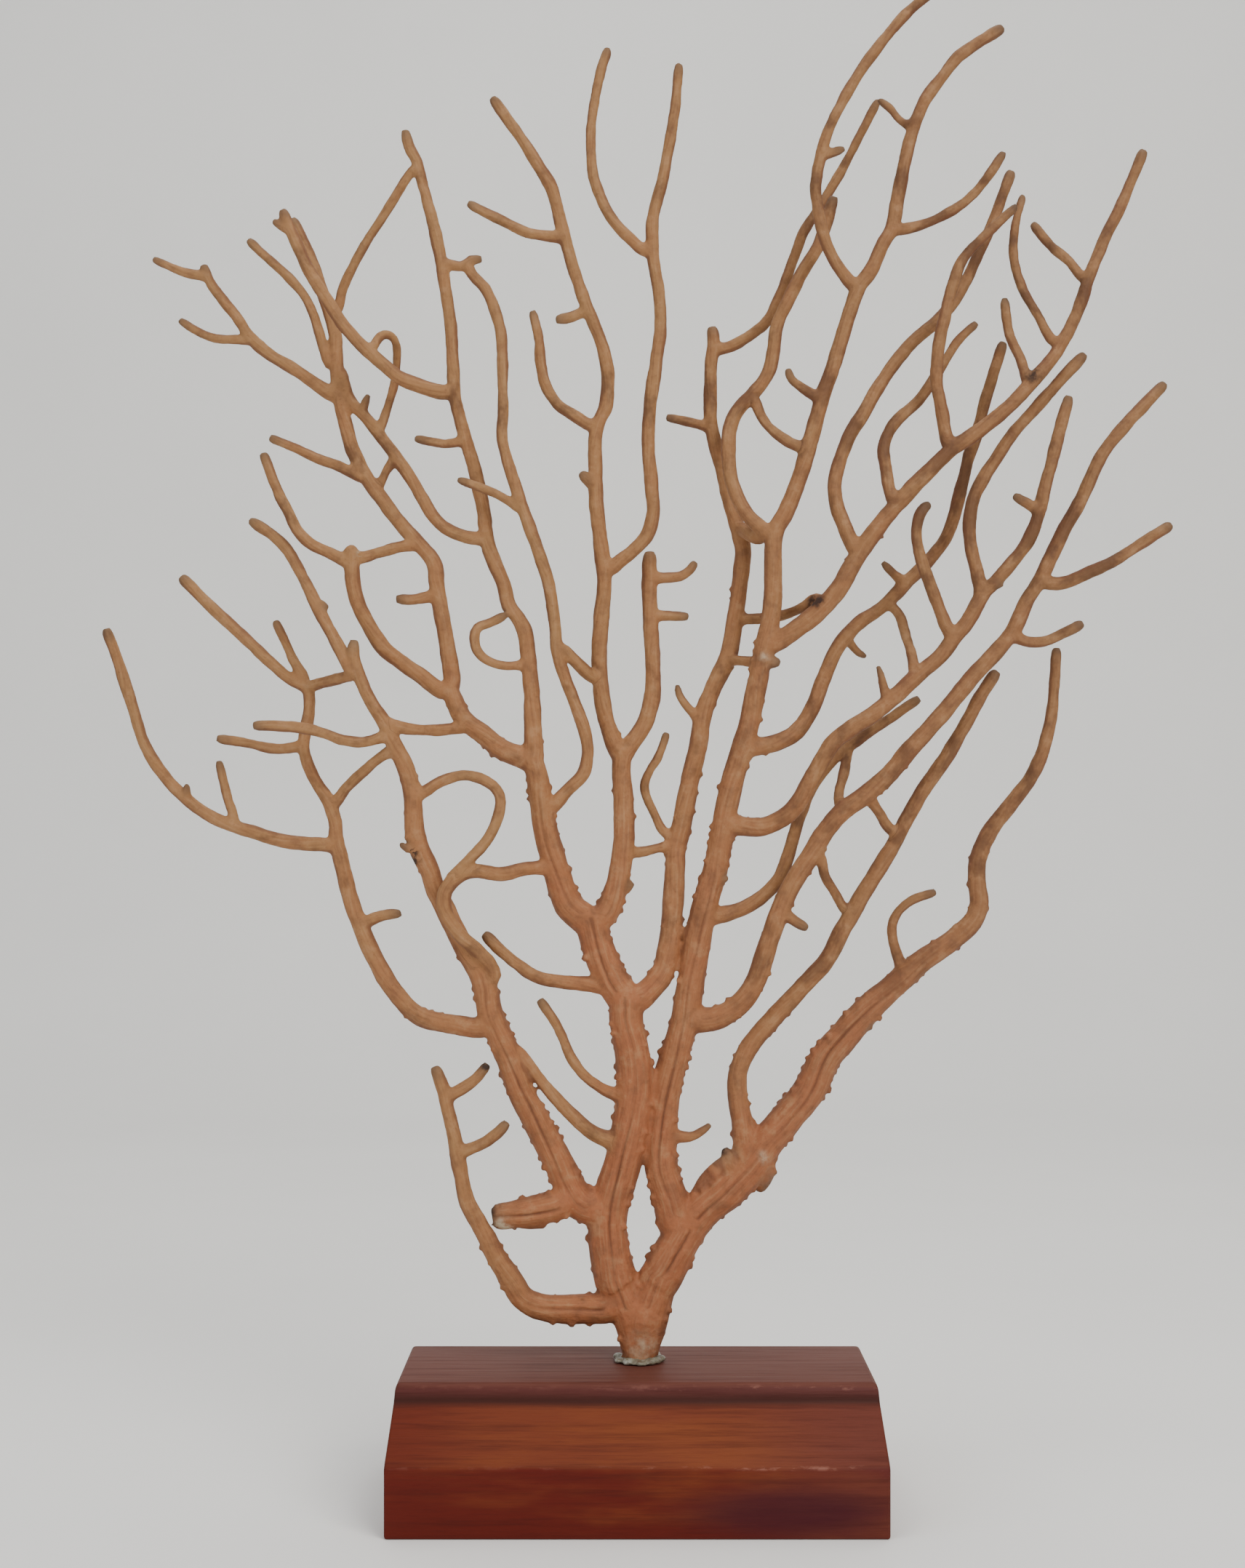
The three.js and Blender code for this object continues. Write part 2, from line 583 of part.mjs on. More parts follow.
const lowRightStem = {
  name: "low_right_stem", parent: "stem_right",
  main: { width: [50, 46, 44, 42, 34], depth: [2, 5, 6],
    route: [[947, 1684], [965, 1665], [1000, 1638], [1032, 1605], [1055, 1570], [1080, 1540],
            [1112, 1500], [1135, 1455], [1160, 1425], [1198, 1383], [1236, 1349]] },
  twigs: [
    { width: [34, 30], depth: [4],
      route: [[1040, 1605], [1056, 1623]] },
    { width: [24, 15], depth: [0],
      route: [[1010, 1605], [996, 1579]] },
    { width: [12, 8], depth: [5],
      route: [[1186, 1402], [1199, 1416]] },
  ],
};
const lowRightOuter = {
  name: "low_right_outer", parent: "low_right_stem",
  main: { width: [32, 28, 24, 20, 17, 14], depth: [7, 8, 6, 4],
    route: [[1244, 1342], [1270, 1320], [1300, 1300], [1335, 1270], [1346, 1245], [1343, 1210],
            [1345, 1180], [1360, 1145], [1390, 1105], [1420, 1065], [1438, 1020], [1447, 975],
            [1453, 891]] },
  twigs: [
    { width: [15, 13, 12], depth: [6, 4],
      route: [[1240, 1330], [1230, 1301], [1227, 1276], [1233, 1257], [1252, 1239], [1287, 1226]] },
    { width: [12, 8], depth: [8],
      route: [[1346, 1250], [1360, 1249]] },
  ],
};
const lowRightInner = {
  name: "low_right_inner", parent: "low_right_stem",
  main: { width: [30, 26, 23, 22, 20, 17], depth: [3, 2, 1, 0],
    route: [[1027, 1578], [1020, 1540], [1014, 1500], [1016, 1470], [1034, 1434], [1065, 1398],
            [1105, 1355], [1135, 1322], [1155, 1285], [1192, 1221], [1224, 1169], [1262, 1099],
            [1288, 1060], [1311, 1025], [1350, 955], [1371, 923]] },
  twigs: [],
};
const lowRightArm = {
  name: "low_right_arm", parent: "right_stem",
  main: { width: [32, 28, 26, 25, 24], depth: [-3, -5, -5],
    route: [[958, 1403], [985, 1400], [1015, 1382], [1038, 1352], [1055, 1302], [1070, 1257],
            [1090, 1215], [1112, 1180], [1133, 1146], [1157, 1117], [1187, 1095], [1217, 1070],
            [1241, 1042]] },
  twigs: [
    { width: [14, 12], depth: [-4],
      route: [[1080, 1258], [1095, 1268], [1110, 1277]] },
    { width: [14, 14], depth: [-2], to: "low_right_inner",
      route: [[1127, 1178], [1135, 1205], [1150, 1230], [1160, 1248]] },
    { width: [14, 14], depth: [-2], to: "low_right_inner",
      route: [[1193, 1093], [1210, 1120], [1222, 1138]] },
  ],
};
const lowRightTip = {
  name: "low_right_tip", parent: "low_right_arm",
  main: { width: [23, 22, 20, 18, 16], depth: [-5, -4, -3],
    route: [[1249, 1033], [1275, 1005], [1305, 970], [1334, 934], [1368, 898], [1393, 867], [1410, 830],
            [1430, 797], [1445, 766], [1464, 727], [1484, 692], [1514, 628], [1538, 595], [1602, 527]] },
  twigs: [
    { width: [18, 16, 15], depth: [-6, -7],
      route: [[1432, 800], [1460, 802], [1490, 790], [1530, 772], [1570, 747], [1611, 721]] },
    { width: [15, 14], depth: [-6, -7],
      route: [[1390, 872], [1410, 882], [1435, 882], [1460, 872], [1489, 857]] },
  ],
};
const rightBackTwig = {
  name: "right_back_twig", parent: "right_upper",
  main: { width: [22, 19, 17, 15, 14], depth: [4, 6, 7],
    route: [[984, 1259], [1019, 1250], [1049, 1232], [1073, 1205], [1087, 1165], [1100, 1122],
            [1118, 1080], [1145, 1046], [1183, 1015], [1225, 987], [1264, 960]] },
  twigs: [
    { width: [14, 14], depth: [4, -1], to: "low_right_arm",
      route: [[1166, 1030], [1160, 1065], [1153, 1098]] },
  ],
};

// Parents come before what grows from them, and a link comes after the branch that it reaches
const branches = [
  foot, stemLeft, stemRight, lowLeftArm, stemMiddle, innerLeftStem, outerLeftStem, outerLeftMiddle, loopTwig,
  outerLeftTip, farLeftStem, farLeftTip, farLeftSide, leftTopTwig, tallLeftStem, tallLeftTip, tallLeftSide,
  leftFork, leftFanLow, leftFanStem, leftFanTip, leftFanSide, crossLeft, middleStem, middleLeftStem,
  middleLeftTip, middleRightTwig, middleTop, middleTopLeft, innerClimber, centreStem, centreUpper, centreTip,
  centreTop, rightStem, rightUpper, rightArm, rightArmTip, rightArmMiddle, rightArmTwig, rightArmInner,
  rightTopStem, rightTopLeft, rightInner, rightBackArm, rightFrontArm, rightFrontLeft, rightFrontRight,
  rightFrontTwig, lowRightStem, lowRightOuter, lowRightInner, lowRightArm, lowRightTip, rightBackTwig,
];

// A closed mesh as a solid that can be joined and cut
function toSolid(geometry) {
  geometry.deleteAttribute("normal");
  geometry.deleteAttribute("uv");
  const merged = mergeVertices(geometry, 1e-5);
  return new wasm.Manifold(new wasm.Mesh({
    numProp: 3,
    vertProperties: new Float32Array(merged.attributes.position.array),
    triVerts: new Uint32Array(merged.index.array),
  }));
}

function toMesh(name, solid, material) {
  const { vertProperties, triVerts } = solid.getMesh();
  const geometry = new THREE.BufferGeometry();
  geometry.setAttribute("position", new THREE.BufferAttribute(vertProperties, 3));
  geometry.setIndex(new THREE.BufferAttribute(triVerts, 1));
  geometry.computeVertexNormals();
  const mesh = new THREE.Mesh(geometry, material);
  mesh.name = name;
  return mesh;
}

// Value at a fraction of the way along a list of evenly spaced stations
function along(stations, fraction) {
  const place = Math.min(Math.max(fraction, 0), 1) * (stations.length - 1);
  const before = Math.min(Math.floor(place), Math.max(stations.length - 2, 0));
  const after = Math.min(before + 1, stations.length - 1);
  return stations[before] + (stations[after] - stations[before]) * (place - before);
}

// A drawn place and its depth behind the sheet, as a point of the model
function placed(drawnX, drawnY, depth) {
  const spread = 1 + depth / EYE_DISTANCE;
  return new THREE.Vector3(
    FOOT_X + (DRAWN_EYE[0] - DRAWN_FOOT[0] + (drawnX - DRAWN_EYE[0]) * spread) * UNIT,
    FOOT_Y + depth,
    BLOCK_HEIGHT + (DRAWN_FOOT[1] - DRAWN_EYE[1] + (DRAWN_EYE[1] - drawnY) * spread) * UNIT,
  );
}

// Drawn points of every branch so far, from which the next branch finds where it starts and ends
const drawnPoints = new Map();

function nearestDrawn(name, [x, y]) {
  const away = (point) => Math.hypot(point.x - x, point.y - y);
  return drawnPoints.get(name).reduce((best, point) => (away(point) < away(best) ? point : best));
}

// A strand's centre line on the sheet, its depth as the third number
function drawnCurve(strand, parent) {
  const flat = strand.route.map(([x, y]) => new THREE.Vector3(x, y, 0));
  const stations = [...strand.depth];
  if (parent) {
    const start = nearestDrawn(parent, strand.route[0]);
    flat.unshift(new THREE.Vector3(start.x, start.y, 0));
    stations.unshift(start.z);
  }
  if (strand.to) {
    const end = nearestDrawn(strand.to, strand.route.at(-1));
    flat.push(new THREE.Vector3(end.x, end.y, 0));
    stations.push(end.z);
  }
  const reach = [0];
  flat.slice(1).forEach((point, i) => reach.push(reach[i] + point.distanceTo(flat[i])));
  const points = flat.map((point, i) => new THREE.Vector3(
    point.x, point.y, along(stations, reach[i] / reach.at(-1))));
  return new THREE.CatmullRomCurve3(points, false, "centripetal");
}

// Fractions of a centre line where a tube needs a ring: close together in bends and along teeth
function ringFractions(centre, toothed) {
  const samples = Math.ceil(centre.getLength());
  if (toothed) {
    const teeth = Math.max(2, Math.round(centre.getLength() / TOOTH_PITCH));
    return Array.from({ length: teeth + 1 }, (_, i) => i / teeth);
  }
  const fractions = [0];
  let turned = 0;
  let last = 0;
  for (let i = 1; i < samples; i += 1) {
    turned += centre.getTangentAt(i / samples).angleTo(centre.getTangentAt((i - 1) / samples));
    if (turned > SHARPEST_TURN || i - last > LONGEST_STEP) {
      fractions.push(i / samples);
      turned = 0;
      last = i;
    }
  }
  if (fractions.length > 1 && samples - last < MEETING_ROOM) fractions.pop();
  return [...fractions, 1];
}

// A strand as a tapering tube: a closed cylinder bent along its centre line
function strandSolid(strand, drawn, grow) {
  const centre = new THREE.CatmullRomCurve3(
    drawn.getSpacedPoints(Math.max(3, Math.ceil(drawn.getLength() / SAMPLE_UNITS)))
      .map((point) => placed(point.x, point.y, point.z)), false, "centripetal");
  const meanWidth = strand.width.reduce((sum, width) => sum + width, 0) / strand.width.length;
  const toothed = meanWidth > TOOTHED_WIDTH;
  const fractions = ringFractions(centre, toothed);
  const rings = fractions.length - 1;
  const tube = new THREE.CylinderGeometry(1, 1, 1, meanWidth < TWIG_WIDTH ? TWIG_SIDES : SIDES, rings);
  const position = tube.attributes.position;
  const depthAxis = new THREE.Vector3(0, 1, 0);
  const local = new THREE.Vector3();
  for (let i = 0; i < position.count; i += 1) {
    local.fromBufferAttribute(position, i);
    const ring = Math.round((local.y + 0.5) * rings);
    const fraction = fractions[ring];
    const tangent = centre.getTangentAt(fraction);
    const side = new THREE.Vector3().crossVectors(tangent, depthAxis).normalize();
    const front = new THREE.Vector3().crossVectors(tangent, side);
    const atTip = ring === rings && !strand.to;
    const radius = along(strand.width, fraction) / 2 * UNIT * (atTip ? TIP_TAPER : 1) + grow;
    const onEdge = Math.abs(local.z) > 0.99;
    const tooth = toothed && onEdge ? 1 + (ring % 2 ? TOOTH_OUT : -TOOTH_OUT / 2) : 1;
    const point = centre.getPointAt(fraction)
      .addScaledVector(side, local.z * radius * tooth)
      .addScaledVector(front, local.x * radius * FLATNESS);
    const inCap = Math.hypot(local.x, local.z) < 0.01;
    if (ring === rings) point.addScaledVector(tangent, grow + (inCap ? radius * TIP_DOME : 0));
    if (ring === 0) point.addScaledVector(tangent, -grow);
    position.setXYZ(i, point.x, point.y, point.z);
  }
  return toSolid(tube);
}

// The block: a box whose levels take the profile's half width and half depth
function blockSolid(raise) {
  const halfWidth = BLOCK_WIDTH / 2;
  const halfDepth = BLOCK_DEPTH / 2;
  const bevelTop = BLOCK_SIDE_HEIGHT + BEVEL_DROP;
  const levels = [
    [halfWidth, halfDepth, 0],
    [halfWidth, halfDepth, BLOCK_SIDE_HEIGHT],
    [halfWidth - END_LEAN / 2, halfDepth - BEVEL_RUN, bevelTop],
    [halfWidth - END_LEAN / 2 - STEP_RUN / 2, halfDepth - BEVEL_RUN - STEP_RUN, bevelTop + STEP_RISE],
    [halfWidth - END_LEAN, halfDepth - BEVEL_RUN - STEP_RUN - EDGE_ROUND, BLOCK_HEIGHT],
  ];
  const box = new THREE.BoxGeometry(2, 2, 1, 1, 1, levels.length - 1);
  const position = box.attributes.position;
  for (let i = 0; i < position.count; i += 1) {
    const [wide, deep, high] = levels[Math.round((position.getZ(i) + 0.5) * (levels.length - 1))];
    position.setXYZ(i, position.getX(i) * wide, position.getY(i) * deep, high + raise);
  }
  return toSolid(box);
}

// The glue: a low dome with a wavy rim, later cut clear of the foot that it holds
function glueSolid() {
  const profile = [[0, 0], [1, 0], [0.97, 0.35], [0.78, 0.78], [0.45, 1], [0, 1]]
    .map(([out, up]) => new THREE.Vector2(out * GLUE_RADIUS, up * GLUE_HEIGHT));
  const dome = new THREE.LatheGeometry(profile, GLUE_SIDES).rotateX(Math.PI / 2);
  const position = dome.attributes.position;
  for (let i = 0; i < position.count; i += 1) {
    const angle = Math.atan2(position.getY(i), position.getX(i));
    const wave = 1 + GLUE_WAVE * Math.sin(3 * angle + 1) + GLUE_WAVE / 2 * Math.sin(5 * angle);
    position.setXYZ(i, FOOT_X + position.getX(i) * wave, FOOT_Y + position.getY(i) * wave,
      BLOCK_HEIGHT + GAP + position.getZ(i));
  }
  return toSolid(dome);
}

function bodiesMeet(a, b) {
  const first = a.boundingBox();
  const second = b.boundingBox();
  return [0, 1, 2].every((k) => first.min[k] < second.max[k] && second.min[k] < first.max[k]);
}

function largestBody(solid) {
  return solid.decompose().reduce((best, body) => (body.volume() > best.volume() ? body : best));
}

// A branch with its twigs, cut clear of the block and of every branch before it
const grownSolids = [blockSolid(GAP)];

function branchSolid({ name, parent, main, twigs }) {
  const mainDrawn = drawnCurve(main, parent);
  const samples = (curve) => curve.getSpacedPoints(Math.ceil(curve.getLength() / SAMPLE_UNITS));
  drawnPoints.set(name, samples(mainDrawn));
  const strands = [[main, mainDrawn], ...twigs.map((twig) => [twig, drawnCurve(twig, name)])];
  drawnPoints.set(name, strands.flatMap(([, drawn]) => samples(drawn)));
  const joined = (grow) => strands.map(([strand, drawn]) => strandSolid(strand, drawn, grow))
    .reduce((sum, solid) => sum.add(solid));
  const cut = grownSolids.reduce((rest, other) => (bodiesMeet(rest, other) ? rest.subtract(other) : rest),
    joined(0));
  grownSolids.push(joined(GAP));
  return largestBody(cut);
}

// Colours: terracotta on thick stems, paler on thin ones; stained wood; cloudy glue
const THICK_COLOUR = new THREE.Color(0x9c4e2b);
const THIN_COLOUR = new THREE.Color(0xa8794c);
const COLOUR_WIDTHS = [18, 44];

function coralMaterial(width) {
  const [thin, full] = COLOUR_WIDTHS;
  const thick = THREE.MathUtils.clamp((width - thin) / (full - thin), 0, 1);
  const color = THIN_COLOUR.clone().lerp(THICK_COLOUR, thick);
  return new THREE.MeshStandardMaterial({ color, roughness: 0.8, metalness: 0 });
}
const woodMaterial = new THREE.MeshStandardMaterial({ color: 0x5c2a22, roughness: 0.45, metalness: 0 });
const glueMaterial = new THREE.MeshStandardMaterial({ color: 0xb9bbb0, roughness: 0.4, metalness: 0 });

const fan = new THREE.Group();
fan.name = "fan";
for (const branch of branches) {
  fan.add(toMesh(branch.name, branchSolid(branch), coralMaterial(branch.main.width[0])));
}

const stand = new THREE.Group();
stand.name = "stand";
stand.add(toMesh("wood_block", blockSolid(0), woodMaterial));
const glueHole = grownSolids.slice(1).filter((solid) => bodiesMeet(solid, glueSolid()));
stand.add(toMesh("glue", largestBody(glueHole.reduce((rest, solid) => rest.subtract(solid), glueSolid())),
  glueMaterial));

const seaFan = new THREE.Group();
seaFan.name = "sea_fan";
seaFan.add(stand, fan);

export default seaFan;
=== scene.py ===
import json
import math
import random

import bmesh
import bpy
import numpy as np
from mathutils import Matrix, Vector, kdtree
from mathutils.geometry import interpolate_bezier

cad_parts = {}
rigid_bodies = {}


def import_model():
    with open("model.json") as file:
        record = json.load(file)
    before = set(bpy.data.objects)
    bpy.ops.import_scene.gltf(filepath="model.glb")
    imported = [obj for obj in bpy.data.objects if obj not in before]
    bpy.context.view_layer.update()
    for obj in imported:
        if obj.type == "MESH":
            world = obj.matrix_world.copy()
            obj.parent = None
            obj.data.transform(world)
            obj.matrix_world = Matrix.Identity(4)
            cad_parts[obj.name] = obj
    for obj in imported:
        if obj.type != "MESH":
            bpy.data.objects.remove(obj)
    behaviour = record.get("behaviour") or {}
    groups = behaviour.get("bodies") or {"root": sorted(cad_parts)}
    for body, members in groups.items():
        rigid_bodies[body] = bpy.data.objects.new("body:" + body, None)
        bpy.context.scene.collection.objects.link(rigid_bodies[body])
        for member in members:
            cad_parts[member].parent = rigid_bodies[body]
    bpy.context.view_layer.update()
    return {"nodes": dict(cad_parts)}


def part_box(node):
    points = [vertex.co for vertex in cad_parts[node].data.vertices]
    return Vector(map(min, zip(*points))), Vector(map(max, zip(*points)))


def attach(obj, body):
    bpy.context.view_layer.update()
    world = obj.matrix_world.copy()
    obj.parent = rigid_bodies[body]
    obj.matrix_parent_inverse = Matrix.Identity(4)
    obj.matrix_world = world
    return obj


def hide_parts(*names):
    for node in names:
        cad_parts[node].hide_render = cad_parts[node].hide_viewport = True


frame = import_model()
blockLow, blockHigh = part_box("wood_block")
print("frame loaded:", len(frame["nodes"]), "nodes")

# The sheet that the branches are drawn on: x to the right, y down, seen square on from the eye
sheet = {
    "unit": 0.3587 / 1888,          # metres for one drawn unit: fan height over drawn height
    "foot": (878, 1872),            # drawn place of the foot, on the block's top
    "footAt": (0.0006, 0.002),      # the same place in the frame
    "eye": (856, 1180),             # drawn place straight ahead of the eye
    "eyeDistance": 0.56,
    "size": (1712, 2156),           # drawn width and height of the picture
}
unit = sheet["unit"]


def placed(point):                  # sheet x, y and depth, all in drawn units, to the frame
    eyeX, eyeY = sheet["eye"]
    footX, footY = sheet["foot"]
    spread = 1 + point[2] * unit / sheet["eyeDistance"]
    return Vector((
        sheet["footAt"][0] + (eyeX - footX + (point[0] - eyeX) * spread) * unit,
        sheet["footAt"][1] + point[2] * unit,
        blockHigh.z + (footY - eyeY + (eyeY - point[1]) * spread) * unit))


def newObject(name, bm):
    mesh = bpy.data.meshes.new(name)
    bm.to_mesh(mesh)
    bm.free()
    made = bpy.data.objects.new(name, mesh)
    bpy.context.collection.objects.link(made)
    return made


def smoothShade(made):
    made.data.polygons.foreach_set("use_smooth", [True] * len(made.data.polygons))


# Camera: level, at the eye, with the lens that draws one unit of the sheet as one pixel
def makeCamera():
    width, height = sheet["size"]
    data = bpy.data.cameras.new("camera")
    data.sensor_width = 36
    data.lens = sheet["eyeDistance"] / unit / height * data.sensor_width
    data.shift_x = (width / 2 - sheet["eye"][0]) / height
    data.shift_y = (sheet["eye"][1] - height / 2) / height
    data.clip_start = 0.01
    made = bpy.data.objects.new("camera", data)
    bpy.context.collection.objects.link(made)
    made.location = placed((*sheet["eye"], -sheet["eyeDistance"] / unit))
    made.location.x = placed((*sheet["eye"], 0)).x
    made.location.z = placed((*sheet["eye"], 0)).z
    made.rotation_euler = (math.radians(90), 0, 0)
    bpy.context.scene.camera = made


makeCamera()
print("camera set")


# Small helpers for node materials
def newMaterial(name):
    made = bpy.data.materials.new(name)
    made.use_nodes = True
    return made, made.node_tree, made.node_tree.nodes["Principled BSDF"]


def addNode(tree, kind, settings=None, inputs=None):
    made = tree.nodes.new(kind)
    for key, value in (settings or {}).items():
        setattr(made, key, value)
    for key, value in (inputs or {}).items():
        if hasattr(value, "is_output"):
            tree.links.new(value, made.inputs[key])
        else:
            made.inputs[key].default_value = value
    return made


def mathNode(tree, operation, first, second, clamp=False):
    return addNode(tree, "ShaderNodeMath", {"operation": operation, "use_clamp": clamp},
                   {0: first, 1: second}).outputs[0]


def times(tree, first, second):
    return mathNode(tree, "MULTIPLY", first, second)


def paint(tree, colour, tint, amount, strength=None):    # lays a tint over a colour
    if strength is not None:
        amount = times(tree, amount, strength)
    made = addNode(tree, "ShaderNodeMix", {"data_type": "RGBA"}, {0: amount, 6: colour, 7: (*tint, 1)})
    return made.outputs[2]


def rampNode(tree, factor, stops):   # stops: list of (place, colour)
    made = addNode(tree, "ShaderNodeValToRGB", None, {0: factor})
    ramp = made.color_ramp
    while len(ramp.elements) < len(stops):
        ramp.elements.new(1)
    for element, (place, colour) in zip(ramp.elements, stops):
        element.position = place
        element.color = (*colour, 1)
    return made.outputs[0]


def rangeNode(tree, value, low, high):   # 0 at low, 1 at high, eased between
    made = addNode(tree, "ShaderNodeMapRange", {"interpolation_type": "SMOOTHSTEP"},
                   {0: value, 1: low, 2: high})
    return made.outputs[0]


def noiseNode(tree, vector, scale, detail=3.0, rough=0.55):
    made = addNode(tree, "ShaderNodeTexNoise", None,
                   {"Vector": vector, "Scale": scale, "Detail": detail, "Roughness": rough})
    return made.outputs[0]


def objectPlace(tree, stretch=(1, 1, 1)):
    place = addNode(tree, "ShaderNodeTexCoord").outputs["Object"]
    return addNode(tree, "ShaderNodeMapping", None, {"Vector": place, "Scale": stretch}).outputs[0]


def attributeNode(tree, name):
    return addNode(tree, "ShaderNodeAttribute", {"attribute_name": name}).outputs["Fac"]


# The foot and the two stems that leave it
foot = {
    "name": "foot", "parent": "",
    "main": {"width": [42, 48, 62], "depth": [0],
        "route": [(878, 1871), (883, 1850), (887, 1812)]},
    "twigs": [
        {"width": [40, 50, 50], "depth": [0],
         "route": [(878, 1855), (870, 1815), (851, 1768)]},
        {"width": [42, 54, 54], "depth": [0],
         "route": [(883, 1855), (890, 1812), (903, 1764)]},
    ],
}
stemLeft = {
    "name": "stem_left", "parent": "foot",
    "main": {"width": [54, 51, 48, 45], "depth": [0, -1, -2],
        "route": [(846, 1758), (836, 1700), (838, 1660), (856, 1600), (868, 1540), (872, 1490),
                  (868, 1440), (861, 1405), (862, 1378)]},
    "twigs": [
        {"width": [16, 13], "depth": [-4, -6],
         "route": [(848, 1505), (825, 1495), (800, 1475), (783, 1450), (773, 1425), (760, 1400),
                   (742, 1375)]},
    ],
}
stemRight = {
    "name": "stem_right", "parent": "foot",
    "main": {"width": [54, 52], "depth": [0, 1],
        "route": [(909, 1756), (926, 1722), (943, 1692)]},
    "twigs": [],
}
lowLeftArm = {
    "name": "low_left_arm", "parent": "foot",
    "main": {"width": [38, 38, 32, 24, 21, 19, 17], "depth": [-3, -7, -9, -10],
        "route": [(835, 1797), (800, 1800), (750, 1798), (720, 1785), (705, 1762), (685, 1732),
                  (670, 1703), (654, 1675), (641, 1650), (633, 1610), (624, 1560), (617, 1530),
                  (610, 1500), (597, 1466)]},
    "twigs": [
        {"width": [16, 15], "depth": [-11],
         "route": [(634, 1584), (663, 1573), (685, 1557), (697, 1543)]},
        {"width": [16, 15], "depth": [-8],
         "route": [(622, 1505), (651, 1486), (671, 1463)]},
    ],
}
# Stems of the left half, from the low fork outwards
stemMiddle = {
    "name": "stem_middle", "parent": "stem_left",
    "main": {"width": [44, 42], "depth": [-1, 0],
        "route": [(857, 1370), (841, 1346), (823, 1305), (812, 1270)]},
    "twigs": [
        {"width": [20, 16], "depth": [-3, -5],
         "route": [(840, 1355), (805, 1353), (770, 1350), (738, 1343), (711, 1326), (690, 1308),
                   (665, 1284)]},
    ],
}
innerLeftStem = {
    "name": "inner_left_stem", "parent": "stem_middle",
    "main": {"width": [38, 36, 32, 28], "depth": [-1, -3],
        "route": [(800, 1261), (781, 1244), (766, 1200), (752, 1150), (744, 1105), (738, 1065),
                  (733, 1048)]},
    "twigs": [],
}
outerLeftStem = {
    "name": "outer_left_stem", "parent": "stem_left",
    "main": {"width": [46, 40, 36, 34], "depth": [-2, -4],
        "route": [(825, 1663), (800, 1655), (785, 1635), (769, 1600), (743, 1552), (717, 1502),
                  (698, 1450), (678, 1403)]},
    "twigs": [
        {"width": [40, 40, 33], "depth": [-4, -5],
         "route": [(770, 1655), (720, 1668), (677, 1674)]},
        {"width": [14, 18, 22], "depth": [-3], "to": "stem_left",
         "route": [(712, 1447), (730, 1468), (755, 1500), (785, 1532), (815, 1557), (840, 1568)]},
    ],
}
outerLeftMiddle = {
    "name": "outer_left_middle", "parent": "outer_left_stem",
    "main": {"width": [33, 29, 26, 28], "depth": [-5, -6, -7],
        "route": [(673, 1388), (665, 1350), (640, 1305), (612, 1250), (600, 1225), (592, 1200),
                  (578, 1170), (571, 1148)]},
    "twigs": [],
}
loopTwig = {
    "name": "loop_twig", "parent": "inner_left_stem",
    "main": {"width": [18, 20, 17], "depth": [-5, -11, -12, -10, -8], "to": "outer_left_middle",
        "route": [(752, 1192), (720, 1195), (690, 1202), (645, 1198), (615, 1220), (611, 1248),
                  (630, 1283), (660, 1310), (680, 1340)]},
    "twigs": [],
}
outerLeftTip = {
    "name": "outer_left_tip", "parent": "outer_left_middle",
    "main": {"width": [25, 24, 20, 17, 15], "depth": [-7, -8, -9, -9],
        "route": [(570, 1138), (568, 1100), (564, 1075), (555, 1050), (543, 1025), (530, 997),
                  (506, 957), (490, 919), (486, 900), (487, 880)]},
    "twigs": [
        {"width": [15, 15], "depth": [-8, -11, -12], "to": "loop_twig",
         "route": [(578, 1092), (606, 1075), (641, 1066), (677, 1080), (688, 1103), (675, 1147),
                   (643, 1185), (622, 1207)]},
        {"width": [15, 14], "depth": [-9, -9, -8],
         "route": [(530, 1012), (500, 1020), (470, 1017), (445, 1008), (420, 1002), (380, 998),
                   (348, 998)]},
        {"width": [13, 9], "depth": [-9],
         "route": [(566, 1168), (550, 1160)]},
    ],
}
farLeftStem = {
    "name": "far_left_stem", "parent": "outer_left_stem",
    "main": {"width": [27, 24, 21], "depth": [-2, 0, 1],
        "route": [(658, 1413), (628, 1409), (597, 1404), (571, 1394), (551, 1374), (535, 1353),
                  (508, 1302), (487, 1251), (473, 1200), (464, 1165)]},
    "twigs": [
        {"width": [15, 14], "depth": [-1],
         "route": [(505, 1267), (525, 1259), (552, 1256)]},
    ],
}
farLeftTip = {
    "name": "far_left_tip", "parent": "far_left_stem",
    "main": {"width": [20, 17, 16, 17, 16], "depth": [1, 3, 4, 6],
        "route": [(462, 1150), (461, 1130), (452, 1102), (436, 1077), (424, 1052), (418, 1027),
                  (421, 1000), (425, 975), (422, 948), (396, 932), (345, 885), (296, 840), (249, 793)]},
    "twigs": [
        {"width": [15, 13], "depth": [2, -1],
         "route": [(415, 1026), (380, 1030), (345, 1023), (298, 1015)]},
        {"width": [15, 13], "depth": [4, 2],
         "route": [(418, 935), (402, 905), (390, 878), (378, 853)]},
        {"width": [15, 15], "depth": [-1, -5], "to": "outer_left_tip",
         "route": [(460, 1105), (477, 1083), (503, 1058), (529, 1037)]},
    ],
}
farLeftSide = {
    "name": "far_left_side", "parent": "far_left_stem",
    "main": {"width": [20, 18, 16, 15], "depth": [2, 1, -2, -5],
        "route": [(452, 1162), (420, 1160), (385, 1155), (350, 1145), (318, 1135), (287, 1121),
                  (259, 1101), (235, 1078), (212, 1047), (196, 1017), (185, 980), (164, 915), (146, 864)]},
    "twigs": [
        {"width": [13, 12], "depth": [2],
         "route": [(322, 1127), (313, 1097), (306, 1070), (301, 1046)]},
        {"width": [12, 8], "depth": [-1],
         "route": [(256, 1092), (257, 1078)]},
    ],
}
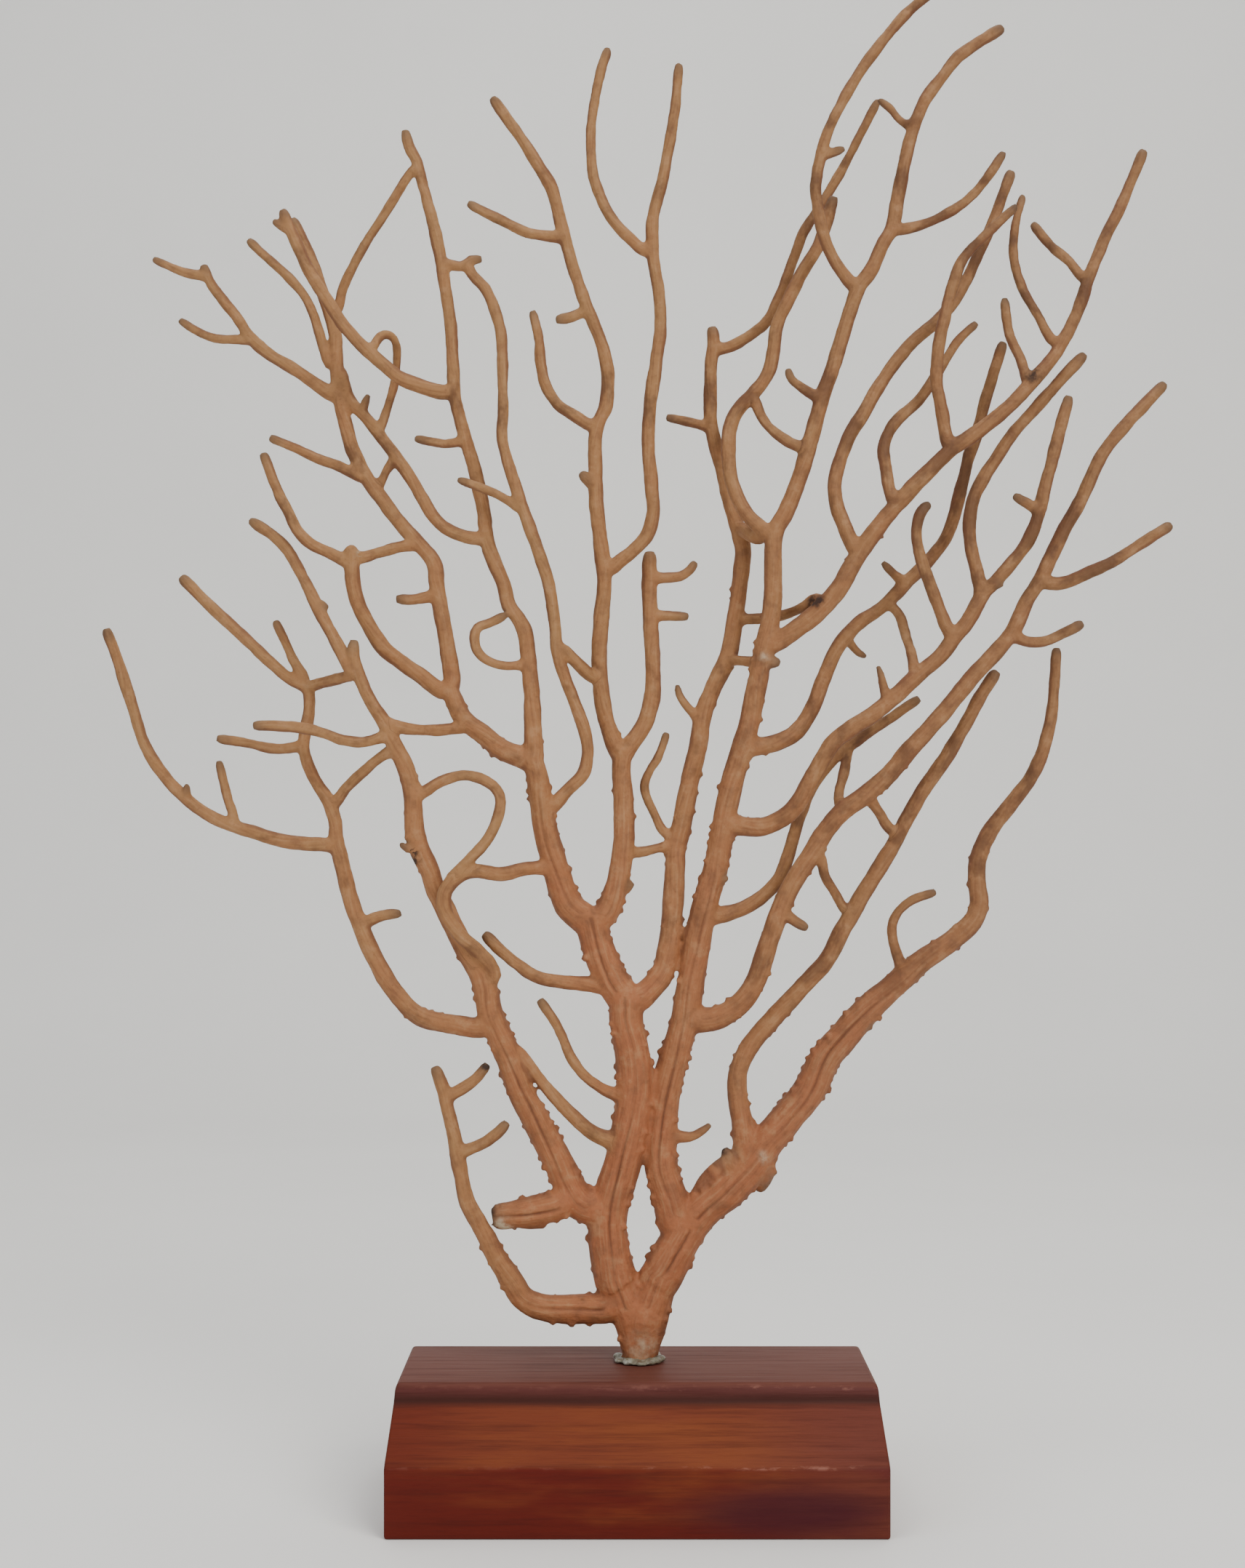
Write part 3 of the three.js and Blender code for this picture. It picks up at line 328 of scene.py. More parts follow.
leftTopTwig = {
    "name": "left_top_twig", "parent": "outer_left_tip",
    "main": {"width": [18, 17, 15], "depth": [-6, -2, 0],
        "route": [(486, 926), (472, 902), (458, 875), (441, 843), (426, 813), (411, 783), (396, 757),
                  (376, 737), (355, 723), (343, 715)]},
    "twigs": [
        {"width": [12, 8], "depth": [-6],
         "route": [(438, 830), (452, 836)]},
        {"width": [15, 15], "depth": [-5, 0], "to": "far_left_tip",
         "route": [(480, 929), (455, 936), (430, 943)]},
    ],
}
# The tall strands of the left half
tallLeftStem = {
    "name": "tall_left_stem", "parent": "inner_left_stem",
    "main": {"width": [25, 22, 20, 19], "depth": [-2, 0, 1],
        "route": [(734, 1038), (733, 1000), (731, 950), (726, 900), (722, 870), (712, 850), (700, 833),
                  (691, 800), (673, 756), (667, 722)]},
    "twigs": [
        {"width": [13, 13], "depth": [-3, -2],
         "route": [(713, 915), (690, 915), (668, 907), (656, 894), (652, 877), (657, 863), (672, 857),
                   (697, 845)]},
    ],
}
tallLeftTip = {
    "name": "tall_left_tip", "parent": "tall_left_stem",
    "main": {"width": [19, 18, 17, 17, 14], "depth": [1, 0, -2, -3, -4],
        "route": [(667, 712), (654, 650), (639, 600), (627, 555), (624, 525), (620, 450), (613, 400),
                  (607, 360), (595, 305), (582, 256), (573, 222), (563, 203), (557, 179)]},
    "twigs": [
        {"width": [13, 12], "depth": [2],
         "route": [(636, 607), (612, 610), (595, 608), (570, 603)]},
        {"width": [15, 13], "depth": [-1],
         "route": [(611, 363), (635, 366), (648, 358), (662, 356)]},
    ],
}
tallLeftSide = {
    "name": "tall_left_side", "parent": "tall_left_tip",
    "main": {"width": [20, 18, 17, 15], "depth": [-4, -6, -7, -7],
        "route": [(615, 540), (600, 538), (575, 530), (549, 519), (527, 501), (507, 484), (487, 464),
                  (470, 444), (455, 421), (437, 392), (422, 367), (410, 340), (398, 312), (388, 288)]},
    "twigs": [
        {"width": [13, 10], "depth": [-7],
         "route": [(398, 316), (386, 310), (375, 303)]},
    ],
}
leftFork = {
    "name": "left_fork", "parent": "inner_left_stem",
    "main": {"width": [30, 27, 24], "depth": [0, 2],
        "route": [(722, 1043), (690, 1030), (665, 1010), (637, 988), (624, 962), (619, 948)]},
    "twigs": [
        {"width": [16, 16], "depth": [0, -4, -8], "to": "outer_left_tip",
         "route": [(640, 998), (610, 1003), (570, 1003), (540, 998), (527, 992)]},
    ],
}
leftFanLow = {
    "name": "left_fan_low", "parent": "left_fork",
    "main": {"width": [22, 21, 20], "depth": [1, -2, -3],
        "route": [(607, 950), (581, 931), (551, 910), (526, 889), (506, 858), (491, 827), (485, 796),
                  (483, 760)]},
    "twigs": [
        {"width": [16, 14], "depth": [-5, -6],
         "route": [(478, 772), (450, 758), (428, 748), (408, 728), (397, 705), (383, 678), (362, 623)]},
    ],
}
leftFanStem = {
    "name": "left_fan_stem", "parent": "left_fork",
    "main": {"width": [23, 22, 20, 20], "depth": [3, 5, 6],
        "route": [(622, 935), (618, 905), (608, 850), (600, 800), (597, 775), (580, 752), (560, 730),
                  (539, 705), (523, 683), (508, 663), (495, 642)]},
    "twigs": [
        {"width": [15, 13], "depth": [4, 1],
         "route": [(500, 657), (470, 643), (440, 632), (410, 618), (371, 602)]},
        {"width": [15, 14], "depth": [3],
         "route": [(594, 820), (570, 824), (545, 824)]},
        {"width": [15, 15], "depth": [3, 0], "to": "left_fan_low",
         "route": [(576, 748), (550, 752), (520, 760), (500, 766)]},
    ],
}
leftFanTip = {
    "name": "left_fan_tip", "parent": "left_fan_stem",
    "main": {"width": [20, 19, 18, 16], "depth": [7, 8, 9, 9],
        "route": [(491, 632), (484, 615), (476, 585), (469, 560), (465, 530), (463, 500), (462, 465),
                  (453, 430), (441, 396), (428, 358), (414, 328), (401, 300)]},
    "twigs": [
        {"width": [14, 13], "depth": [9, 12, 13],
         "route": [(453, 500), (441, 465), (430, 430), (415, 402), (390, 375), (365, 352), (341, 330)]},
        {"width": [14, 13], "depth": [7, 3, -1], "to": "tall_left_tip",
         "route": [(464, 424), (472, 395), (497, 345), (530, 293), (566, 236)]},
    ],
}
leftFanSide = {
    "name": "left_fan_side", "parent": "left_fan_tip",
    "main": {"width": [20, 17, 15, 14], "depth": [5, 2, -1],
        "route": [(458, 543), (430, 525), (400, 505), (370, 487), (345, 465), (327, 438), (307, 413),
                  (290, 390), (280, 364)]},
    "twigs": [
        {"width": [13, 12], "depth": [-2],
         "route": [(285, 381), (255, 375), (230, 365), (210, 356)]},
        {"width": [13, 12], "depth": [4, 5],
         "route": [(347, 467), (325, 467), (300, 466), (280, 460), (247, 440)]},
    ],
}
crossLeft = {
    "name": "cross_left", "parent": "tall_left_stem",
    "main": {"width": [18, 17, 16], "depth": [2, 4, 6], "to": "left_fan_tip",
        "route": [(660, 741), (640, 738), (615, 728), (598, 713), (582, 688), (565, 659), (543, 626),
                  (521, 597), (501, 572), (483, 553), (474, 530), (469, 514)]},
    "twigs": [
        {"width": [12, 12], "depth": [5, 5, 3, -2], "to": "tall_left_side",
         "route": [(522, 590), (535, 555), (543, 525), (546, 495), (544, 470), (534, 460), (522, 463),
                   (514, 475)]},
        {"width": [11, 9], "depth": [3],
         "route": [(500, 560), (506, 543)]},
        {"width": [12, 12], "depth": [5], "to": "left_fan_stem",
         "route": [(542, 630), (530, 650), (524, 664)]},
    ],
}
# The strands in the middle of the fan
middleStem = {
    "name": "middle_stem", "parent": "stem_middle",
    "main": {"width": [32, 30, 28, 26], "depth": [1, 3],
        "route": [(832, 1257), (843, 1234), (852, 1200), (858, 1150), (857, 1100), (854, 1060),
                  (855, 1042)]},
    "twigs": [
        {"width": [17, 12], "depth": [1],
         "route": [(856, 1222), (871, 1213)]},
    ],
}
middleLeftStem = {
    "name": "middle_left_stem", "parent": "middle_stem",
    "main": {"width": [24, 22, 21, 20], "depth": [3, 2, 0],
        "route": [(846, 1026), (832, 985), (826, 945), (824, 900), (827, 850), (831, 800), (826, 750),
                  (821, 702)]},
    "twigs": [],
}
middleLeftTip = {
    "name": "middle_left_tip", "parent": "middle_left_stem",
    "main": {"width": [20, 19, 17, 17, 15], "depth": [-1, -3, -5, -6],
        "route": [(820, 690), (819, 650), (818, 610), (822, 585), (833, 558), (836, 530), (834, 500),
                  (828, 475), (808, 425), (799, 400), (787, 365), (772, 310), (759, 260), (745, 235),
                  (728, 207), (695, 160), (676, 134)]},
    "twigs": [
        {"width": [15, 13], "depth": [-7, -9],
         "route": [(774, 327), (745, 324), (725, 320), (700, 308), (675, 296), (643, 279)]},
        {"width": [14, 13], "depth": [-2],
         "route": [(800, 430), (785, 436), (764, 440)]},
        {"width": [16, 14], "depth": [0, 2],
         "route": [(814, 586), (789, 571), (766, 555), (751, 531), (744, 502), (741, 465), (732, 427)]},
        {"width": [17, 15], "depth": [-3],
         "route": [(815, 664), (798, 650)]},
    ],
}
middleRightTwig = {
    "name": "middle_right_twig", "parent": "middle_stem",
    "main": {"width": [24, 22, 21, 20], "depth": [5, 7, 8],
        "route": [(864, 1028), (876, 1012), (889, 988), (897, 957), (898, 920), (896, 880), (893, 820),
                  (893, 758)]},
    "twigs": [
        {"width": [15, 13], "depth": [7],
         "route": [(900, 795), (935, 793), (948, 785), (957, 772)]},
        {"width": [14, 13], "depth": [9],
         "route": [(900, 847), (947, 848)]},
    ],
}
middleTop = {
    "name": "middle_top", "parent": "middle_left_stem",
    "main": {"width": [18, 19, 18, 17, 17, 15, 13], "depth": [-2, -4, -5, -6, -7],
        "route": [(838, 783), (855, 770), (875, 753), (890, 735), (898, 705), (896, 670), (892, 620),
                  (892, 580), (896, 540), (902, 500), (908, 450), (906, 400), (898, 355), (898, 300),
                  (911, 250), (920, 200), (928, 150), (934, 88)]},
    "twigs": [],
}
middleTopLeft = {
    "name": "middle_top_left", "parent": "middle_top",
    "main": {"width": [16, 15, 14, 13], "depth": [-4, -1, 1],
        "route": [(890, 346), (873, 335), (839, 297), (818, 249), (812, 195), (815, 155), (826, 98),
                  (836, 66)]},
    "twigs": [],
}
innerClimber = {
    "name": "inner_climber", "parent": "inner_left_stem",
    "main": {"width": [18, 17, 17, 15, 15], "depth": [-3, -5, -7, -7, -6], "to": "tall_left_tip",
        "route": [(760, 1108), (780, 1087), (802, 1064), (808, 1035), (803, 1001), (789, 963),
                  (777, 931), (767, 900), (763, 860), (754, 801), (738, 752), (720, 702), (703, 651),
                  (694, 620), (690, 600), (692, 560), (691, 530), (691, 490), (689, 456), (681, 429),
                  (668, 398), (648, 376)]},
    "twigs": [
        {"width": [17, 17], "depth": [-2], "to": "middle_left_stem",
         "route": [(772, 893), (790, 908), (814, 930)]},
        {"width": [13, 12], "depth": [-6, -5],
         "route": [(715, 699), (704, 692), (685, 681), (665, 672), (629, 659)]},
    ],
}
centreStem = {
    "name": "centre_stem", "parent": "stem_left",
    "main": {"width": [32, 30, 28, 26], "depth": [1, 4, 5],
        "route": [(882, 1370), (896, 1358), (911, 1338), (920, 1300), (925, 1250), (928, 1200),
                  (930, 1165), (936, 1140), (944, 1100), (951, 1064)]},
    "twigs": [
        {"width": [13, 12], "depth": [6, 8],
         "route": [(922, 1150), (910, 1140), (898, 1115), (889, 1095), (886, 1080), (893, 1060),
                   (905, 1041), (917, 1007)]},
        {"width": [13, 13], "depth": [3], "to": "middle_stem",
         "route": [(920, 1163), (905, 1166), (876, 1172)]},
    ],
}
centreUpper = {
    "name": "centre_upper", "parent": "centre_stem",
    "main": {"width": [25, 24, 24, 23], "depth": [6, 8, 9],
        "route": [(954, 1050), (961, 1020), (965, 990), (979, 950), (1002, 901), (1011, 850),
                  (1018, 800), (1022, 760), (1018, 738)]},
    "twigs": [
        {"width": [13, 10], "depth": [5],
         "route": [(957, 985), (943, 970), (934, 955), (931, 941)]},
    ],
}
centreTip = {
    "name": "centre_tip", "parent": "centre_upper",
    "main": {"width": [20, 19, 18], "depth": [11, 12, 12],
        "route": [(1016, 729), (1006, 700), (994, 650), (982, 605), (977, 580), (977, 550), (978, 500),
                  (981, 472), (979, 449)]},
    "twigs": [
        {"width": [14, 13], "depth": [11],
         "route": [(974, 587), (950, 581), (916, 574)]},
    ],
}
centreTop = {
    "name": "centre_top", "parent": "centre_tip",
    "main": {"width": [16, 15, 14, 13], "depth": [12, 11, 10, 8],
        "route": [(986, 480), (1006, 476), (1032, 461), (1055, 441), (1069, 414), (1083, 380),
                  (1095, 345), (1107, 316), (1140, 264), (1168, 214), (1208, 137)]},
    "twigs": [],
}
# Stems of the right half
rightStem = {
    "name": "right_stem", "parent": "stem_right",
    "main": {"width": [46, 45, 41, 38, 36], "depth": [1, 0],
        "route": [(930, 1684), (922, 1650), (909, 1600), (910, 1550), (915, 1500), (928, 1450),
                  (942, 1400), (950, 1350), (958, 1305)]},
    "twigs": [
        {"width": [18, 10], "depth": [-1],
         "route": [(925, 1562), (950, 1563), (967, 1554), (977, 1546)]},
    ],
}
rightUpper = {
    "name": "right_upper", "parent": "right_stem",
    "main": {"width": [36, 33, 29, 26, 23], "depth": [-1, -2, -3],
        "route": [(959, 1292), (968, 1250), (982, 1200), (993, 1150), (1001, 1100), (1014, 1050),
                  (1029, 1000), (1039, 950), (1052, 885), (1060, 850), (1063, 800), (1063, 760),
                  (1064, 737)]},
    "twigs": [
        {"width": [14, 14], "depth": [2], "to": "centre_upper",
         "route": [(1040, 911), (1025, 909), (1012, 908)]},
        {"width": [17, 14], "depth": [-4],
         "route": [(1054, 909), (1072, 911)]},
        {"width": [13, 9], "depth": [-2],
         "route": [(986, 1212), (1001, 1207)]},
    ],
}
rightArm = {
    "name": "right_arm", "parent": "right_upper",
    "main": {"width": [25, 25, 24, 22, 20], "depth": [-6, -8, -8],
        "route": [(1062, 886), (1080, 876), (1109, 855), (1133, 833), (1154, 808), (1170, 781),
                  (1186, 755), (1206, 727), (1231, 696), (1257, 668), (1287, 638), (1312, 615)]},
    "twigs": [
        {"width": [14, 15], "depth": [-1, 5, 7], "to": "centre_upper",
         "route": [(1122, 823), (1105, 834), (1080, 845), (1050, 850), (1024, 851)]},
    ],
}
rightArmTip = {
    "name": "right_arm_tip", "parent": "right_arm",
    "main": {"width": [20, 19, 17, 16, 15], "depth": [-8, -7, -5, -4],
        "route": [(1320, 610), (1348, 591), (1388, 558), (1413, 532), (1450, 488), (1468, 457),
                  (1484, 422), (1496, 386), (1520, 326), (1538, 290), (1573, 207)]},
    "twigs": [
        {"width": [14, 13], "depth": [-5, -3],
         "route": [(1412, 520), (1402, 490), (1388, 460), (1381, 410)]},
        {"width": [13, 12], "depth": [-4, -1, 1],
         "route": [(1446, 467), (1426, 432), (1406, 397), (1395, 362), (1394, 330), (1398, 301),
                   (1407, 268)]},
        {"width": [13, 13], "depth": [-3, 0],
         "route": [(1486, 380), (1472, 361), (1445, 338), (1419, 307)]},
    ],
}
rightArmMiddle = {
    "name": "right_arm_middle", "parent": "right_arm",
    "main": {"width": [18, 17, 15, 12], "depth": [-9, -10, -9, -7],
        "route": [(1303, 607), (1296, 570), (1288, 525), (1290, 480), (1298, 441), (1309, 395),
                  (1325, 355), (1354, 324), (1398, 283)]},
    "twigs": [],
}
rightArmTwig = {
    "name": "right_arm_twig", "parent": "right_arm",
    "main": {"width": [17, 16, 14, 12], "depth": [-5, -2, -1, 0],
        "route": [(1226, 683), (1218, 643), (1215, 613), (1230, 582), (1264, 550), (1293, 507),
                  (1317, 469), (1343, 444)]},
    "twigs": [],
}
rightArmInner = {
    "name": "right_arm_inner", "parent": "right_arm",
    "main": {"width": [20, 19, 17, 15], "depth": [-4, 0, 2, 3],
        "route": [(1174, 751), (1162, 726), (1151, 696), (1148, 662), (1166, 604), (1189, 565),
                  (1214, 523), (1253, 472), (1294, 436), (1327, 389), (1350, 340), (1370, 293),
                  (1391, 235)]},
    "twigs": [],
}
rightTopStem = {
    "name": "right_top_stem", "parent": "right_upper",
    "main": {"width": [22, 21, 20, 19, 17, 16], "depth": [-4, -5, -5, -4, -3],
        "route": [(1068, 725), (1080, 705), (1095, 670), (1113, 610), (1131, 546), (1143, 511),
                  (1165, 442), (1181, 395), (1196, 374), (1213, 338), (1227, 312), (1234, 275),
                  (1243, 230), (1252, 190), (1261, 162), (1274, 134), (1296, 105), (1319, 77),
                  (1379, 38)]},
    "twigs": [
        {"width": [13, 12], "depth": [-7],
         "route": [(1122, 545), (1103, 533), (1088, 521), (1083, 507)]},
        {"width": [12, 10], "depth": [-1],
         "route": [(1248, 172), (1236, 164), (1226, 151), (1208, 137)]},
        {"width": [14, 13], "depth": [-6, -8],
         "route": [(1232, 316), (1265, 310), (1300, 295), (1328, 277), (1351, 253), (1381, 209)]},
    ],
}
rightTopLeft = {
    "name": "right_top_left", "parent": "right_top_stem",
    "main": {"width": [17, 16, 15, 14], "depth": [-7, -9, -8, -6],
        "route": [(1166, 385), (1147, 357), (1133, 326), (1125, 290), (1122, 255), (1127, 222),
                  (1138, 183), (1156, 144), (1176, 109), (1200, 74), (1249, 16), (1288, -16)]},
    "twigs": [
        {"width": [13, 11], "depth": [-9],
         "route": [(1130, 214), (1147, 209), (1162, 204)]},
    ],
}
rightInner = {
    "name": "right_inner", "parent": "right_upper",
    "main": {"width": [20, 19, 18, 17], "depth": [1, 4, 4, 3, 2],
        "route": [(1052, 730), (1025, 704), (1007, 663), (1002, 622), (1003, 592), (1013, 566),
                  (1039, 538), (1057, 512), (1064, 480), (1069, 445), (1085, 412), (1104, 372),
                  (1126, 336), (1147, 270)]},
    "twigs": [
        {"width": [22, 20], "depth": [2], "to": "centre_tip",
         "route": [(1044, 738), (1034, 735), (1022, 728)]},
        {"width": [14, 14], "depth": [1, -3], "to": "right_top_stem",
         "route": [(1038, 552), (1048, 574), (1065, 594), (1087, 609), (1103, 615)]},
    ],
}
rightBackArm = {
    "name": "right_back_arm", "parent": "right_upper",
    "main": {"width": [24, 21, 19, 18, 17, 15], "depth": [3, 6, 8, 9, 9],
        "route": [(1034, 1027), (1068, 1021), (1096, 1005), (1118, 972), (1133, 932), (1151, 892),
                  (1177, 860), (1215, 833), (1248, 800), (1275, 773), (1297, 745), (1310, 715),
                  (1322, 670), (1332, 630), (1345, 590), (1355, 550), (1380, 470)]},
    "twigs": [
        {"width": [13, 11], "depth": [6],
         "route": [(1245, 803), (1230, 790), (1213, 773)]},
        {"width": [12, 10], "depth": [9],
         "route": [(1166, 882), (1180, 897), (1191, 903)]},
    ],
}
rightFrontArm = {
    "name": "right_front_arm", "parent": "right_upper",
    "main": {"width": [26, 23, 22, 20], "depth": [-4, -6, -6, -6],
        "route": [(1014, 1135), (1046, 1137), (1078, 1124), (1100, 1101), (1117, 1068), (1134, 1039),
                  (1153, 1014), (1202, 981), (1230, 958), (1260, 930), (1290, 905), (1310, 880),
                  (1330, 855), (1348, 822)]},
    "twigs": [
        {"width": [14, 13], "depth": [-2, 4], "to": "right_back_arm",
         "route": [(1258, 925), (1254, 900), (1246, 875), (1237, 846)]},
        {"width": [13, 10], "depth": [-8],
         "route": [(1219, 960), (1213, 935), (1207, 915)]},
    ],
}
rightFrontLeft = {
    "name": "right_front_left", "parent": "right_front_arm",
    "main": {"width": [18, 18, 17, 16], "depth": [-5, -4, -4, -5],
        "route": [(1348, 808), (1343, 785), (1335, 750), (1333, 715), (1340, 682), (1355, 653),
                  (1374, 624), (1399, 589), (1419, 567), (1448, 534), (1492, 486)]},
    "twigs": [],
}
rightFrontRight = {
    "name": "right_front_right", "parent": "right_front_arm",
    "main": {"width": [18, 18, 17, 16], "depth": [-7, -9, -9],
        "route": [(1356, 812), (1367, 802), (1390, 775), (1410, 750), (1422, 725), (1430, 700),
                  (1437, 670), (1445, 640), (1455, 600), (1470, 544)]},
    "twigs": [
        {"width": [15, 14], "depth": [-10],
         "route": [(1428, 702), (1410, 691), (1394, 681)]},
        {"width": [12, 8], "depth": [-7],
         "route": [(1366, 804), (1380, 804)]},
    ],
}
rightFrontTwig = {
    "name": "right_front_twig", "parent": "right_front_arm",
    "main": {"width": [17, 16, 14], "depth": [-7, -8, -7],
        "route": [(1305, 868), (1293, 840), (1278, 800), (1265, 765), (1260, 735), (1263, 712),
                  (1272, 697), (1279, 693)]},
    "twigs": [],
}
lowRightStem = {
    "name": "low_right_stem", "parent": "stem_right",
    "main": {"width": [50, 46, 44, 42, 34], "depth": [2, 5, 6],
        "route": [(947, 1684), (965, 1665), (1000, 1638), (1032, 1605), (1055, 1570), (1080, 1540),
                  (1112, 1500), (1135, 1455), (1160, 1425), (1198, 1383), (1236, 1349)]},
    "twigs": [
        {"width": [34, 30], "depth": [4],
         "route": [(1040, 1605), (1056, 1623)]},
        {"width": [24, 15], "depth": [0],
         "route": [(1010, 1605), (996, 1579)]},
        {"width": [12, 8], "depth": [5],
         "route": [(1186, 1402), (1199, 1416)]},
    ],
}
lowRightOuter = {
    "name": "low_right_outer", "parent": "low_right_stem",
    "main": {"width": [32, 28, 24, 20, 17, 14], "depth": [7, 8, 6, 4],
        "route": [(1244, 1342), (1270, 1320), (1300, 1300), (1335, 1270), (1346, 1245), (1343, 1210),
                  (1345, 1180), (1360, 1145), (1390, 1105), (1420, 1065), (1438, 1020), (1447, 975),
                  (1453, 891)]},
    "twigs": [
        {"width": [15, 13, 12], "depth": [6, 4],
         "route": [(1240, 1330), (1230, 1301), (1227, 1276), (1233, 1257), (1252, 1239), (1287, 1226)]},
        {"width": [12, 8], "depth": [8],
         "route": [(1346, 1250), (1360, 1249)]},
    ],
}
lowRightInner = {
    "name": "low_right_inner", "parent": "low_right_stem",
    "main": {"width": [30, 26, 23, 22, 20, 17], "depth": [3, 2, 1, 0],
        "route": [(1027, 1578), (1020, 1540), (1014, 1500), (1016, 1470), (1034, 1434), (1065, 1398),
                  (1105, 1355), (1135, 1322), (1155, 1285), (1192, 1221), (1224, 1169), (1262, 1099),
                  (1288, 1060), (1311, 1025), (1350, 955), (1371, 923)]},
    "twigs": [],
}
lowRightArm = {
    "name": "low_right_arm", "parent": "right_stem",
    "main": {"width": [32, 28, 26, 25, 24], "depth": [-3, -5, -5],
        "route": [(958, 1403), (985, 1400), (1015, 1382), (1038, 1352), (1055, 1302), (1070, 1257),
                  (1090, 1215), (1112, 1180), (1133, 1146), (1157, 1117), (1187, 1095), (1217, 1070),
                  (1241, 1042)]},
    "twigs": [
        {"width": [14, 12], "depth": [-4],
         "route": [(1080, 1258), (1095, 1268), (1110, 1277)]},
        {"width": [14, 14], "depth": [-2], "to": "low_right_inner",
         "route": [(1127, 1178), (1135, 1205), (1150, 1230), (1160, 1248)]},
        {"width": [14, 14], "depth": [-2], "to": "low_right_inner",
         "route": [(1193, 1093), (1210, 1120), (1222, 1138)]},
    ],
}
lowRightTip = {
    "name": "low_right_tip", "parent": "low_right_arm",
    "main": {"width": [23, 22, 20, 18, 16], "depth": [-5, -4, -3],
        "route": [(1249, 1033), (1275, 1005), (1305, 970), (1334, 934), (1368, 898), (1393, 867),
                  (1410, 830), (1430, 797), (1445, 766), (1464, 727), (1484, 692), (1514, 628),
                  (1538, 595), (1602, 527)]},
    "twigs": [
        {"width": [18, 16, 15], "depth": [-6, -7],
         "route": [(1432, 800), (1460, 802), (1490, 790), (1530, 772), (1570, 747), (1611, 721)]},
        {"width": [15, 14], "depth": [-6, -7],
         "route": [(1390, 872), (1410, 882), (1435, 882), (1460, 872), (1489, 857)]},
    ],
}
rightBackTwig = {
    "name": "right_back_twig", "parent": "right_upper",
    "main": {"width": [22, 19, 17, 15, 14], "depth": [4, 6, 7],
        "route": [(984, 1259), (1019, 1250), (1049, 1232), (1073, 1205), (1087, 1165), (1100, 1122),
                  (1118, 1080), (1145, 1046), (1183, 1015), (1225, 987), (1264, 960)]},
    "twigs": [
        {"width": [14, 14], "depth": [4, -1], "to": "low_right_arm",
         "route": [(1166, 1030), (1160, 1065), (1153, 1098)]},
    ],
}

# Parents come before what grows from them, and a link comes after the branch that it reaches
branches = [
    foot, stemLeft, stemRight, lowLeftArm, stemMiddle, innerLeftStem, outerLeftStem, outerLeftMiddle,
    loopTwig, outerLeftTip, farLeftStem, farLeftTip, farLeftSide, leftTopTwig, tallLeftStem,
    tallLeftTip, tallLeftSide, leftFork, leftFanLow, leftFanStem, leftFanTip, leftFanSide, crossLeft,
    middleStem, middleLeftStem, middleLeftTip, middleRightTwig, middleTop, middleTopLeft, innerClimber,
    centreStem, centreUpper, centreTip, centreTop, rightStem, rightUpper, rightArm, rightArmTip,
    rightArmMiddle, rightArmTwig, rightArmInner, rightTopStem, rightTopLeft, rightInner, rightBackArm,
    rightFrontArm, rightFrontLeft, rightFrontRight, rightFrontTwig, lowRightStem, lowRightOuter,
    lowRightInner, lowRightArm, lowRightTip, rightBackTwig,
]

# The fan's skin: tubes along the branches, teeth on their edges, fused and smoothed as one growth
fanSkin = {
    "seed": 7,
    "ringStep": 0.0012,             # metres between the rings of a tube
    "ringSides": 14,
    "flatness": 0.9,                # front to back over side to side
    "grow": 1.05,                   # makes up for what the smoothing takes off
    "flare": 0.55,                  # how far a thin twig swells where it leaves a thick stem
    "flareLeast": 0.06,
    "tipTaper": [0.66, 0.94],       # last rings of a free end, from the end back
    "joint": 1.04,                  # ball that fills a fork, over the thinner of the two radii
    "voxel": 0.00044,
    "smoothing": 3,
    "lump": 0.0003,                 # height of the slow unevenness
    "lumpSize": 0.006,
    "girth": (14, 48),              # drawn widths that take the twigs' and the stems' colour
    "tipReach": 0.0045,             # how far the dull colour of a tip goes
    "hueReach": 0.013,              # how far a twig keeps the colour of the stem that it grows from
    "forkFade": 5,                  # rounds over which the markings of two strands blend at a fork
    "partBlend": 6,                 # rounds that even out the cuts between pieces
    "leastPatch": 300,              # faces; a smaller patch joins its neighbour
    "cutSink": 0.0007,              # how far a cut turns inwards before it is closed
}
teeth = {
    "fullWidth": 42,                # drawn width from which a stem has full rows of teeth
    "leastWidth": 23,
    "pitch": 0.0017,
    "height": 0.0022,
    "foot": 0.00115,
    "blunt": 0.62,                  # tip over foot
    "lean": 0.22,                   # how far a tooth leans towards the tip
    "comeAndGo": 0.034,             # length over which the rows thin out and fill up again
}
webs = [                            # webbing between stems, knobs and swellings: drawn line, drawn radius
    {"piece": "stem_left", "line": [(897, 1472), (893, 1535), (887, 1598)], "size": 7},
    {"piece": "low_right_stem", "line": [(1030, 1546), (1020, 1600)], "size": 18},
    {"piece": "low_right_stem", "line": [(1056, 1588), (1046, 1630)], "size": 16},
    {"piece": "low_right_stem", "line": [(958, 1640), (1004, 1592)], "size": 14},
    {"piece": "foot", "line": [(910, 1776), (898, 1852)], "size": 15},
    {"piece": "foot", "line": [(862, 1806), (863, 1854)], "size": 13},
    {"piece": "outer_left_stem", "line": [(690, 1672), (745, 1682)], "size": 13},
]
groove = {
    "width": [27, 38],              # drawn widths over which the groove comes in
    "depth": 0.0004,
    "half": 0.0005,
    "lip": 0.0002,
    "lipAt": 0.0012,
    "wander": 0.0006,
    "wanderLength": 0.045,
    "fadeLength": 0.06,             # the groove is deep and shallow in turns
    "jump": 0.0012,                 # a larger step between neighbours is a fork, not a groove
}
